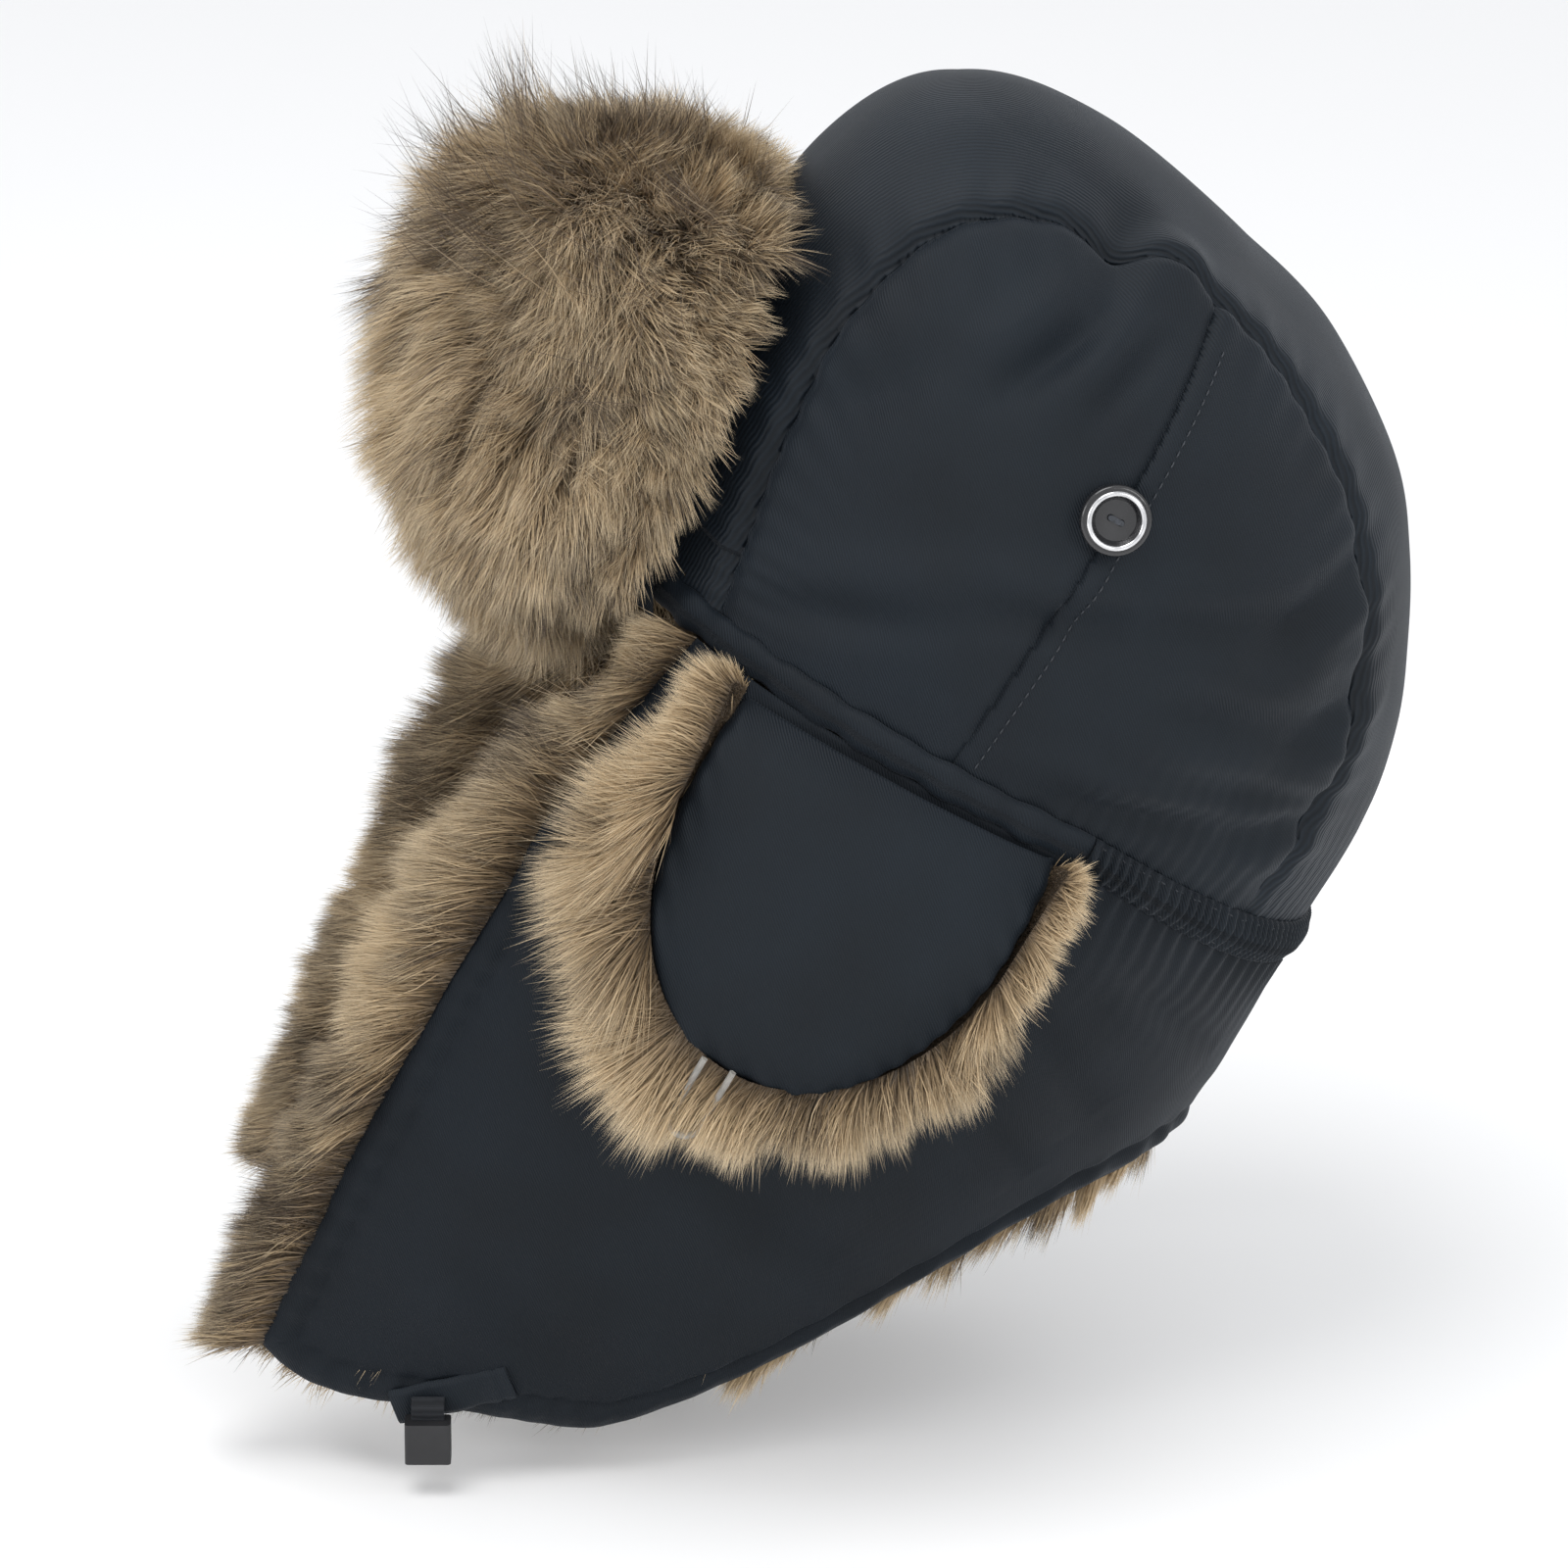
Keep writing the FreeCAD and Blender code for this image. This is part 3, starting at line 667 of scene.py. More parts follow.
CASING_ENDS = (SPLIT_Y, 120 * MM)                                     # Y at the split and at the nape
CASING_TOP, CASING_LOW = (4.5 * MM, -7.2 * MM), (-6.2 * MM, -21.8 * MM)   # levels at those two places


def casing_edges(y):
    """Upper and lower level of the casing, which widens towards the nape."""
    return np.interp(y, CASING_ENDS, CASING_TOP), np.interp(y, CASING_ENDS, CASING_LOW)


def casing_gather(turn):
    return 0.00085 * np.sin(turn * 190 + 1.4 * np.sin(turn * 23))


def casing_section(turn, steps=18):
    y = float(on_side(CROWN, np.array(-0.008), np.array(turn))[1])
    top, base = casing_edges(y)
    rows = []
    for k in range(steps):
        a = math.tau * k / steps
        gather = casing_gather(turn) * (0.45 + 0.55 * abs(math.cos(a)))
        row_groove = 0.0008 * (math.exp(-((math.sin(a) - 0.72) / 0.10) ** 2)
                               + math.exp(-((math.sin(a) + 0.72) / 0.10) ** 2)) * (math.cos(a) > 0)
        rows.append((0.0004 + 0.0027 * math.cos(a) + gather - row_groove,
                     (top + base) / 2 + (top - base) / 2 * math.sin(a)))
    return rows


half_band = float(turn_at(CROWN, np.array(0.0), np.array(SPLIT_Y)))
band = swept_strip("band_fold_cloth", np.linspace(-half_band, half_band, 420), band_section, SIDE_TWILL)
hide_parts("band_fold")
casing = swept_strip("nape_casing_cloth", np.linspace(half_band + 0.004, math.tau - half_band - 0.004, 900),
                     casing_section, SIDE_TWILL)
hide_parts("nape_casing")
for piece in (band, casing):
    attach(piece, "crown")
print("band and casing faces:", len(band.data.polygons), len(casing.data.polygons))

# %% [markdown]
# ## Flaps and neck curtain
# The skirt of the hat is one curtain of twill from cheek round the nape to cheek. Each cheek part can
# swing out; here each side is one sheet, from the front edge to the middle of the nape, fixed in place.
# The edges are lines in the side view; every column of the grid runs from the band down to the hem.

# %% Curtain outline and relief
FRONT_EDGE = np.array([(-4.4, -82), (-30, -89), (-64, -95), (-115, -96.5), (-177, -95), (-236, -91)]) * MM
HEM = np.array([(-100, -233), (-92, -237), (-78, -241), (-60, -238), (-40, -229), (-18, -223), (2, -217),
                (24, -194), (46, -160), (71, -122), (86, -100), (104, -86), (122, -79), (140, -76)]) * MM


def front_edge(level):
    return np.interp(-level, -FRONT_EDGE[:, 0], FRONT_EDGE[:, 1])


def hem(y):
    """Lower edge of the curtain, its corners eased."""
    return sum(np.interp(y + shift * MM, HEM[:, 0], HEM[:, 1]) for shift in (-6, -3, 0, 3, 6)) / 5


def casing_base(y):
    return np.interp(y, CASING_ENDS, (-5.5 * MM, -21.5 * MM))


def cheek_grid(rows, columns, grow, ahead=0.0, below=0.0):
    """Points of one cheek flap: rows from hem up to band, columns from the front edge back."""
    s, t = np.meshgrid(np.linspace(1, 0, rows), np.linspace(0, 1, columns), indexing="ij")
    level = -0.12 + 0 * s
    for _ in range(12):
        y = (1 - t) * (front_edge(level) - ahead) + t * SPLIT_Y
        level = -0.0044 + s * (hem(y) - below + 0.0044)
    turn = turn_at(CURTAIN, level, y, grow)
    return on_side(CURTAIN, level, turn, grow), s, t


def neck_grid(rows, columns, grow, below=0.0):
    s, t = np.meshgrid(np.linspace(1, 0, rows), np.linspace(0, 1, columns), indexing="ij")
    level = -0.05 + 0 * s
    for _ in range(12):
        start = turn_at(CURTAIN, level, SPLIT_Y + 0.0004, grow)
        turn = start + t * (math.tau - 2 * start)
        y = on_side(CURTAIN, level, turn, grow)[..., 1]
        top = casing_base(y)
        level = top + s * (hem(y) - below - top)
    return on_side(CURTAIN, level, turn, grow), s, t


def curtain_relief(p):
    """Loose cloth: broad drape, a puckered hem and slack folds towards the nape."""
    y, z = p[..., 1], p[..., 2]
    h = 0.0022 * soft_noise(p, 0.07, 8) + 0.0008 * soft_noise(p, 0.025, 9)
    hem_gap = z - hem(y)
    front_gap = y - front_edge(z)
    edge = np.minimum(hem_gap, np.where(y < -0.02, front_gap, 1.0))
    along = np.where(hem_gap < front_gap, y, z)
    pucker = np.sin(along / 0.0095 * math.tau + 3 * soft_noise(p, 0.02, 4))
    h += 0.00055 * pucker * np.exp(-((edge - 0.006) / 0.005) ** 2)
    h += 0.0011 * np.exp(-((edge - 0.004) / 0.003) ** 2) - 0.0010 * np.exp(-((edge - 0.0085) / 0.0012) ** 2)
    for start, end, width, depth in (((24, -40), (80, -72), 6, 2.6), ((34, -74), (72, -96), 5, 2.0),
                                     ((-60, -178), (-10, -206), 9, 1.8), ((-86, -120), (-66, -200), 9, 1.2),
                                     ((60, -30), (108, -48), 5, 2.2), ((-20, -120), (36, -140), 8, 1.6)):
        gap, off, step = to_segment(y, z, start, end)
        w = width * MM
        h += depth * MM * np.sin(np.clip(step, 0.03, 0.97) * math.pi) ** 0.6 * (
            0.6 * np.exp(-((off - 1.6 * w) / (1.2 * w)) ** 2) * np.exp(-np.maximum(gap - 3 * w, 0) / w)
            - np.exp(-(gap / w) ** 2))
    gather = np.exp(-np.maximum(casing_base(y) - z, 0) / 0.010) * (y > SPLIT_Y)
    h += gather * 0.0009 * np.sin(np.arctan2(p[..., 0], -y) * 95 + 2 * soft_noise(p, 0.02, 5))
    return h


HEAD_MIDDLE = np.array([0, -0.02, 0])


def outward(p):
    """Normals of a curtain grid, turned to face out of the hat."""
    normal = grid_normals(p)
    away = p * np.array([1, 1, 0]) - HEAD_MIDDLE
    facing = np.sign(np.einsum("ijk,ijk->ij", normal, away))
    return normal * np.where(facing == 0, 1, facing)[..., None]


def cloth_sheet(name, p, relief, uv, material):
    shaped = p + outward(p) * relief[..., None]
    faces = grid_faces(*p.shape[:2])
    piece = mesh_piece(name, worn(shaped), faces, material, uv)
    face_outward(piece)
    thicken(piece, TWILL_THICK)
    return piece


def face_outward(piece):
    """Turns the faces so that they look away from the head."""
    polygon = piece.data.polygons[len(piece.data.polygons) // 2]
    if polygon.normal.dot(polygon.center - Vector((0, -0.02, polygon.center.z))) < 0:
        piece.data.flip_normals()


def sided(sign, *grids):
    """Grids drawn for the left, or mirrored to the right."""
    return [grid * np.array([sign, 1, 1]) for grid in grids]


def sheet_for(sign, p, relief, uv):
    """A sheet's grids for either side; the right has its columns turned round, so it faces out too."""
    if sign > 0:
        return p, relief, uv
    return sided(sign, p)[0][:, ::-1], relief[:, ::-1], uv[:, ::-1]


cheek, nape = cheek_grid(175, 90, 0.0)[0], neck_grid(175, 221, 0.0)[0]
half_curtain = np.concatenate([cheek, nape[:, 1:111]], 1)
for hand, sign in (("left", 1), ("right", -1)):
    relief = curtain_relief(half_curtain)
    steps = np.linalg.norm(np.diff(half_curtain, axis=1), axis=-1).mean(0)
    across = np.concatenate([[0], np.cumsum(steps)]) - steps[:90].sum()
    uv = np.stack([across[None, :] + 0 * relief, half_curtain[..., 2]], -1)
    p, relief, uv = sheet_for(sign, half_curtain, relief, uv)
    curtain = cloth_sheet(f"curtain_cloth_{hand}", p, relief, uv, FLAP_TWILL_SHADED)
    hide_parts(f"cheek_flap_shell_{hand}", "neck_curtain_shell")
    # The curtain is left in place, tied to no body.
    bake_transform(curtain)
print("curtain faces:", len(curtain.data.polygons))

# %% [markdown]
# ## Ear covers
# A D of twill over fur is sewn in under the band on each side. The fur makes it stand off the flap like
# a thin pillow, so its face swells a little and its edge rolls in to the seam. A D maps well to a grid:
# rows run down it, and each row is as wide as the D there.

# %% Ear cover cloth
COVER_MIDDLE, COVER_HALF, COVER_TOP, COVER_DEPTH = -22 * MM, 48 * MM, -5.6 * MM, 90 * MM
COVER_STAND = 10.0 * MM


def cover_width(s, half):
    """Half width of the D at a share of its depth."""
    round_part = np.clip((s - 0.32) / 0.68, 0, 1)
    return half * np.sqrt(np.maximum(1 - round_part ** 2, 0.0))


def cover_grid(rows, columns, grow, extra=0.0):
    s, t = np.meshgrid(np.linspace(0.9995, 0, rows), np.linspace(-1, 1, columns), indexing="ij")
    y = COVER_MIDDLE + cover_width(s, COVER_HALF + extra) * t
    level = COVER_TOP - s * (COVER_DEPTH + extra)
    return on_side(CURTAIN, level, turn_at(CURTAIN, level, y, grow), grow), s, t


def tucked_in(s):
    """The cover slopes in to its seam under the band."""
    return 0.0080 * np.exp(-s / 0.10)


def cover_relief(p, s, t):
    inset = np.minimum(1 - np.abs(t), (1 - s) * 1.6)
    pillow = 0.0020 * np.clip(inset / 0.35, 0, 1) ** 0.5
    rolled = -0.0028 * np.exp(-(inset / 0.035) ** 2)
    pucker = 0.0005 * np.sin((p[..., 1] + p[..., 2]) / 0.010 * math.tau) * np.exp(-(inset / 0.12) ** 2)
    drape = 0.0013 * soft_noise(p, 0.045, 12) + 0.0006 * soft_noise(p, 0.018, 13)
    return pillow + rolled + pucker + drape - tucked_in(s)


for hand, sign in (("left", 1), ("right", -1)):
    p, s, t = cover_grid(150, 130, COVER_STAND)
    relief = cover_relief(p, s, t)
    uv = np.stack([p[..., 1], p[..., 2]], -1)
    p, relief, uv = sheet_for(sign, p, relief, uv)
    cover = cloth_sheet(f"ear_cover_cloth_{hand}", p, relief, uv, SIDE_TWILL)
    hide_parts(f"ear_cover_shell_{hand}")
    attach(cover, f"ear_cover_{hand}")
print("ear cover faces:", len(cover.data.polygons))

# %% [markdown]
# ## Growing the fur
# Fur hides its base, hangs over edges and breaks up every outline, so it is grown hair by hair. Roots
# are scattered over a hide; each hair starts between the hide's normal and the combing direction, is
# pulled into a lock with its neighbours, and droops. Ribbons a third of a millimetre wide are enough
# to read as hair and light enough to draw in their tens of thousands.

# %% Hair by hair
HAIR_STEPS = np.array([0.0, 0.3, 0.62, 1.0])
BAND_DOWN = np.array(TIP_BACK.transposed() @ Vector((0, 0, -1)))


def scatter(points, count, rng):
    """Random places on a grid of points: their position and their grid coordinates."""
    a = points[1:, :-1] - points[:-1, :-1]
    b = points[:-1, 1:] - points[:-1, :-1]
    area = np.linalg.norm(np.cross(a, b), axis=-1)
    pick = rng.choice(area.size, count, p=(area / area.sum()).ravel())
    r, c = np.unravel_index(pick, area.shape)
    u, v = rng.random(count), rng.random(count)
    return r + u, c + v


def read_grid(values, r, c):
    """Values of a grid between its points."""
    i, j = r.astype(int), c.astype(int)
    u, v = (r - i)[:, None], (c - j)[:, None]
    grid = values if values.ndim == 3 else values[..., None]
    out = ((1 - u) * (1 - v) * grid[i, j] + u * (1 - v) * grid[i + 1, j]
           + (1 - u) * v * grid[i, j + 1] + u * v * grid[i + 1, j + 1])
    return out if values.ndim == 3 else out[:, 0]


def locks(roots, size, rng_seed):
    """The middle of the lock that each hair belongs to: a jittered cell of space."""
    cell = np.floor(roots / size).astype(int)
    index = (cell + rng_seed) % 32
    jitter = np.stack([LATTICE[(index[:, 0] + k * 5) % 32, index[:, 1], (index[:, 2] + k * 3) % 32]
                       for k in range(3)], -1)
    return (cell + 0.5 + 0.35 * jitter) * size


def clipped(path):
    """Shortens each hair that would stand out past the hat's size, as shears would."""
    world = worn(path)
    root, reach = world[:, :1], world - world[:, :1]
    room = np.where(reach > 0, PILE_HIGH - root, root - PILE_LOW) / np.maximum(np.abs(reach), 1e-6)
    keep = np.clip(room.min(axis=(1, 2)), 0.05, 1)[:, None, None]
    return path[:, :1] + (path - path[:, :1]) * keep


def grow_pile(name, roots, out, comb, length, body, seed, lift=0.6, width=0.00017, lock=0.009, pull=0.55,
              droop=0.25, wild=0.3, dark=0.0, mess=0.7):
    """A piece of fur: tapered ribbons from roots, in the band frame, in metres."""
    rng = np.random.default_rng(seed)
    n = len(roots)
    span = (length * rng.uniform(0.62, 1.08, n))[:, None]
    flow = np.stack([soft_noise(roots, 0.016, seed + k) for k in range(3)], -1)
    swirl = np.stack([soft_noise(roots, 0.045, seed + 5 + k) for k in range(3)], -1)
    aim = unit(out * lift + comb + mess * (0.8 * flow + swirl) + wild * rng.normal(0, 0.5, (n, 3)))
    below = np.einsum("ij,ij->i", aim, out)[:, None]
    aim = unit(aim + out * np.maximum(0.12 - below, 0))
    curl = np.stack([soft_noise(roots, 0.007, seed + 9 + k) for k in range(3)], -1)
    bend = droop * BAND_DOWN + 0.25 * comb + (0.2 + 0.35 * mess) * curl
    bend += wild * 0.35 * rng.normal(0, 0.5, (n, 3))
    towards = (locks(roots, lock, seed) - roots)
    towards -= out * np.einsum("ij,ij->i", towards, out)[:, None]
    ripple = unit(np.cross(aim, rng.normal(0, 1, (n, 3))))
    phase, waves = rng.uniform(0, math.tau, (n, 1)), rng.uniform(3, 7, (n, 1))
    path = []
    for v in HAIR_STEPS:
        wave = 0.06 * span * v * np.sin(v * waves + phase) * ripple
        path.append(roots + aim * span * v + bend * span * v * v * 0.6 + towards * pull * v + wave)
    path = clipped(np.stack(path, 1))
    heading = unit(np.gradient(path, axis=1))
    facing = unit(out + 0.55 * rng.normal(0, 1, (n, 3)))
    side = unit(np.cross(heading, facing[:, None, :]))
    half = width * rng.uniform(0.6, 1.3, (n, 1)) * np.array([[1.0, 0.95, 0.62]])
    left = path[:, :3] - side[:, :3] * half[..., None]
    right = path[:, :3] + side[:, :3] * half[..., None]
    points = np.concatenate([np.stack([left, right], 2).reshape(n, 6, 3), path[:, 3:]], 1)
    patch = 0.30 * soft_noise(roots, 0.011, seed + 3) + 0.22 * soft_noise(roots, 0.030, 77)
    shade = np.clip(0.52 + 0.55 * (rng.random(n) - 0.5) + patch - dark, 0.01, 0.98)
    across = np.tile(np.array([0, 0.004, 0, 0.004, 0, 0.004, 0.002]), (n, 1)) + shade[:, None]
    up = np.tile(np.repeat(HAIR_STEPS[:3], 2).tolist() + [1.0], (n, 1))
    return ribbon_mesh(name, worn(points), np.stack([across, up], -1), body)


def ribbon_mesh(name, points, uv, body):
    """Fills a mesh straight from arrays: two quads and a tip triangle for each hair."""
    n = len(points)
    first = (np.arange(n) * 7)[:, None]
    corners = (first + np.array([[0, 1, 3, 2, 2, 3, 5, 4, 4, 5, 6]])).ravel()
    mesh = bpy.data.meshes.new(name)
    mesh.vertices.add(n * 7)
    mesh.vertices.foreach_set("co", points.astype(np.float32).ravel())
    mesh.loops.add(n * 11)
    mesh.loops.foreach_set("vertex_index", corners.astype(np.int32))
    mesh.polygons.add(n * 3)
    starts = (np.arange(n)[:, None] * 11 + np.array([[0, 4, 8]])).ravel()
    mesh.polygons.foreach_set("loop_start", starts.astype(np.int32))
    mesh.polygons.foreach_set("use_smooth", np.ones(n * 3, bool))
    layer = mesh.uv_layers.new(name="OFBake")
    layer.data.foreach_set("uv", uv.reshape(-1, 2)[corners].astype(np.float32).ravel())
    mesh.materials.append(PILE)
    mesh.update(calc_edges=True)
    piece = bpy.data.objects.new(name, mesh)
    bpy.context.collection.objects.link(piece)
    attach(piece, body)
    print(name, n, "hairs")
    return piece


def hide_sheet(name, p, node, body):
    """The hide that the hair stands on; it takes the place of the plain fur solid."""
    piece = mesh_piece(name, worn(p), grid_faces(*p.shape[:2]), HIDE)
    thicken(piece, TWILL_THICK)
    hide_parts(node)
    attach(piece, body)
    return piece


# %% [markdown]
# ## Visor
# The visor is a fur-faced flap turned up against the front of the crown. Its back is twill, seen where
# it leans away from the crown. The fur side is a thick cushion of hair: the hide is drawn as a swollen
# form between the flap's back edges and its front profile, and the hair stands on it, combed outwards
# from the middle and drooping under the fold.

# %% Visor cloth and hide
VISOR_HALF = 56 * MM
VISOR_TOP = 84 * MM


def visor_back(rows, columns, grow):
    span = np.linspace(-VISOR_HALF, VISOR_HALF, columns)
    level, x = np.meshgrid(np.linspace(-0.007, VISOR_TOP, rows), span, indexing="ij")
    middle, half_x, half_y = oval_at(VISOR, level)
    y = middle - (half_y + grow) * np.sqrt(1 - (x / (half_x + grow)) ** 2)
    return np.stack([x, y, level], -1)


p = visor_back(90, 100, 0.0012)
relief = 0.0012 * soft_noise(p, 0.04, 20) + 0.0004 * np.sin(p[..., 0] / 0.009 * math.tau) * np.exp(
    -((VISOR_TOP - p[..., 2]) / 0.012) ** 2)
p[..., 1] -= np.abs(relief) * 0.5
visor_cloth = mesh_piece("visor_back_cloth", worn(p), grid_faces(90, 100), SIDE_TWILL,
                         np.stack([p[..., 0], p[..., 2]], -1))
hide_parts("visor_shell")
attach(visor_cloth, "visor")

VISOR_FRONT = np.array([      # (Y, Z) round the front of the swollen hide, top to under the fold
    (-118, 92), (-134, 91), (-156, 85), (-174, 72), (-181, 54), (-179, 33), (-171, 13), (-159, -4),
    (-144, -16), (-131, -22), (-121, -19), (-115, -10)]) * MM
VISOR_EDGE = np.array([       # (Y, Z) of the flap's side edges, matched to the same steps
    (-112, 93), (-115, 92), (-117, 87), (-114, 75), (-110, 60), (-108, 38), (-107, 18), (-107, 2),
    (-108, -6), (-110, -9), (-111, -9), (-112, -7)]) * MM


def visor_hide(rows, columns):
    """The swollen form: rows from the top round the front to under the fold."""
    at = np.linspace(0, len(VISOR_FRONT) - 1, rows)
    steps = np.arange(len(VISOR_FRONT), dtype=float)
    front, edge = spline(steps, VISOR_FRONT, at), spline(steps, VISOR_EDGE, at)
    half = 0.0575 - 0.017 * np.clip((at - 7.0) / 4.0, 0, 1)
    a = np.linspace(-math.pi / 2, math.pi / 2, columns)
    bulge = np.abs(np.cos(a)) ** 0.62
    x = half[:, None] * np.sin(a)[None, :]
    yz = edge[:, None, :] + (front - edge)[:, None, :] * bulge[None, :, None]
    return np.concatenate([x[..., None], yz], -1)


hide_points = visor_hide(90, 110)
lumps = 0.006 * soft_noise(hide_points, 0.035, 21) + 0.0025 * soft_noise(hide_points, 0.013, 22)
hide_out = grid_normals(hide_points)
from_core = np.einsum("ijk,ijk->ij", hide_out, hide_points - np.array([0, -0.115, 0.045]))
hide_out *= np.where(from_core < 0, -1, 1)[..., None]
hide_points = hide_points + hide_out * lumps[..., None]
visor_pelt = hide_sheet("visor_hide", hide_points, "visor_fur", "visor")
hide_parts("visor_wadding")
print("visor hide faces:", len(visor_pelt.data.polygons))

# %% Visor hair
PARTING = np.array([0.0, -0.150, 0.080])
VISOR_COATS = (        # seed, half width of a hair, lift, reach, mess
    (31, 0.00019, 0.55, 0.031, 0.95), (32, 0.00016, 0.75, 0.029, 1.25),
    (33, 0.00018, 0.45, 0.030, 1.10), (34, 0.00015, 0.85, 0.027, 1.45))
for part, (seed, width, lift, reach, mess) in enumerate(VISOR_COATS):
    rng = np.random.default_rng(seed)
    r, c = scatter(hide_points, 37000, rng)
    roots, out = read_grid(hide_points, r, c), unit(read_grid(hide_out, r, c))
    away = roots - PARTING
    comb = unit(away - out * np.einsum("ij,ij->i", away, out)[:, None])
    sag = np.clip((0.065 - roots[:, 2]) / 0.07, 0, 1)[:, None]
    comb = comb * 0.6 + BAND_DOWN * sag * 0.5
    middle_share = np.cos((c / (hide_points.shape[1] - 1) - 0.5) * math.pi)
    low_share = np.clip((roots[:, 2] + 0.02) / 0.05, 0, 1)
    trimmed = (0.42 + 0.58 * middle_share ** 0.5) * (0.70 + 0.30 * low_share)
    grow_pile(f"visor_pile_{part}", roots, out, comb, reach * trimmed, "visor", seed, lift=lift, width=width,
              droop=0.22, mess=mess, lock=0.007 + 0.002 * part)

# %% Wisps
rng = np.random.default_rng(39)
rows, columns = hide_points.shape[:2]
r = rng.uniform(1, rows * 0.42, 1500)
c = np.clip(rng.normal(columns * 0.5, columns * 0.26, 1500), 1, columns - 2.5)
roots, out = read_grid(hide_points, r, c), unit(read_grid(hide_out, r, c))
up_and_ahead = np.zeros_like(roots) + np.array([0.0, -0.85, 0.55])
up_and_ahead[:, 0] = rng.normal(0, 0.5, len(roots))
grow_pile("visor_wisps", roots, out, up_and_ahead, np.full(len(roots), 0.034), "visor", 39, lift=0.45,
          width=0.00015, droop=0.10, mess=1.0, lock=0.016, pull=0.7, dark=0.45)

# %% [markdown]
# ## Fur of the flaps, the curtain and the ear covers
# The lining fur shows where it stands past an edge: a wide brush ahead of the front edge, a low one
# under the hem, and a ring round each ear cover. Roots along those edges are combed straight out of
# them; the rest of the hide carries shorter hair combed down, so that the inside is furred too.


# %% Fur behind the cloth
def brush(points, out, edge_comb, count, reach, body, name, seed, **style):
    rng = np.random.default_rng(seed)
    r, c = scatter(points, count, rng)
    roots, normal, comb = read_grid(points, r, c), unit(read_grid(out, r, c)), read_grid(edge_comb, r, c)
    length = read_grid(reach, r, c) * rng.uniform(0.75, 1.1, count)
    return grow_pile(name, roots, normal, comb, length, body, seed, **style)


FUR_MIDDLE = -9.0 * MM
FACE_SIDE = 50.5 * MM        # the flaps' hide comes no nearer to the middle than this
for hand, sign in (("left", 1), ("right", -1)):
    inner = cheek_grid(110, 80, FUR_MIDDLE, ahead=0.004, below=0.002)[0]
    inner[..., 0] = np.maximum(inner[..., 0], FACE_SIDE)
    inward = -outward(inner)
    gap = inner[..., 1] - (front_edge(inner[..., 2]) - 0.004)
    near_front = np.exp(-np.maximum(gap, 0) / 0.016)
    ahead_share = near_front[..., None]
    comb = ahead_share * np.array([0.1, -1.0, -0.22]) + (1 - ahead_share) * np.array([0, -0.25, -0.9])
    reach = 0.016 + 0.008 * near_front
    body = f"cheek_flap_{hand}"
    pieces = {"inside": (inner, inward, comb, reach, 30000, 0.35, 0.30)}
    level = cheek_grid(150, 26, -3.0 * MM)[0][:, :8, 2]
    rim_y = front_edge(level) + 0.003 - 0.004 * np.cos(np.linspace(-1.4, 1.4, 8))[None, :]
    depth = np.linspace(-11.0, 0.5, 8)[None, :] * MM
    rim = on_side(CURTAIN, level, turn_at(CURTAIN, level, rim_y, -3 * MM), 0.0)
    normal = outward(rim)
    rim = rim + normal * depth[..., None]
    rim[..., 0] = np.maximum(rim[..., 0], FACE_SIDE)
    forward = np.zeros_like(rim) + np.array([0.05, -1.0, -0.30])
    fan = unit(forward * 0.9 + normal * np.linspace(-0.55, 0.38, 8)[None, :, None])
    top_short = 0.55 + 0.45 * np.clip((-0.02 - level) / 0.06, 0, 1)
    pieces["edge_a"] = (rim, fan, forward, 0.0265 * top_short, 36000, 0.75, 0.22)
    pieces["edge_b"] = (rim, fan, forward, 0.0240 * top_short, 36000, 0.9, 0.22)
    hem_strip = cheek_grid(60, 150, -5.0 * MM)[0][:6] + np.array([0, 0, -0.0005])
    hem_depth = np.linspace(-8.0, -1.5, 6)[:, None] * MM
    hem_normal = outward(hem_strip)
    hem_strip = hem_strip + hem_normal * hem_depth[..., None]
    down = np.zeros_like(hem_strip) + np.array([0, -0.25, -1.0])
    pieces["hem"] = (hem_strip, unit(down - 0.05 * hem_normal), down, np.full(hem_strip.shape[:2], 0.0115),
                     12000, 0.5, 0.2)
    for k, (part, (*grids, long, count, lift, droop)) in enumerate(pieces.items()):
        brush(*sided(sign, *grids), count, long, body, f"cheek_fur_{part}_{hand}", 50 + k + (sign < 0) * 10,
              lift=lift, droop=droop, mess=0.75, wild=0.42)
    hide_sheet(f"cheek_hide_{hand}", *sided(sign, inner), f"cheek_flap_fur_{hand}", body)

neck_inner = neck_grid(70, 150, FUR_MIDDLE, below=0.002)[0]
inward = -outward(neck_inner)
down = np.zeros_like(neck_inner) + np.array([0, 0, -1.0])
brush(neck_inner, inward, down, 38000, np.full(neck_inner.shape[:2], 0.015), "crown", "neck_fur_inside", 71,
      lift=0.4, droop=0.3)
neck_hem = neck_grid(100, 240, -4.0 * MM)[0][:6]
hem_normal = outward(neck_hem)
neck_hem = neck_hem + hem_normal * (np.linspace(-8.0, -1.5, 6)[:, None] * MM)[..., None]
down = np.zeros_like(neck_hem) + np.array([0, -0.1, -1.0])
brush(neck_hem, unit(down - 0.05 * hem_normal), down, 34000, np.full(neck_hem.shape[:2], 0.0165), "crown",
      "neck_fur_hem", 72, lift=0.5, droop=0.2, dark=0.05, mess=0.6)
hide_sheet("neck_hide", neck_inner, "neck_curtain_fur", "crown")

# %% Fur of the ear covers
RING_STAND, RING_TUBE = 6.5 * MM, 4.2 * MM      # the ring of fur: off the flap, and its own radius
RING_ANGLES = np.linspace(-1.25, 1.25, 9)

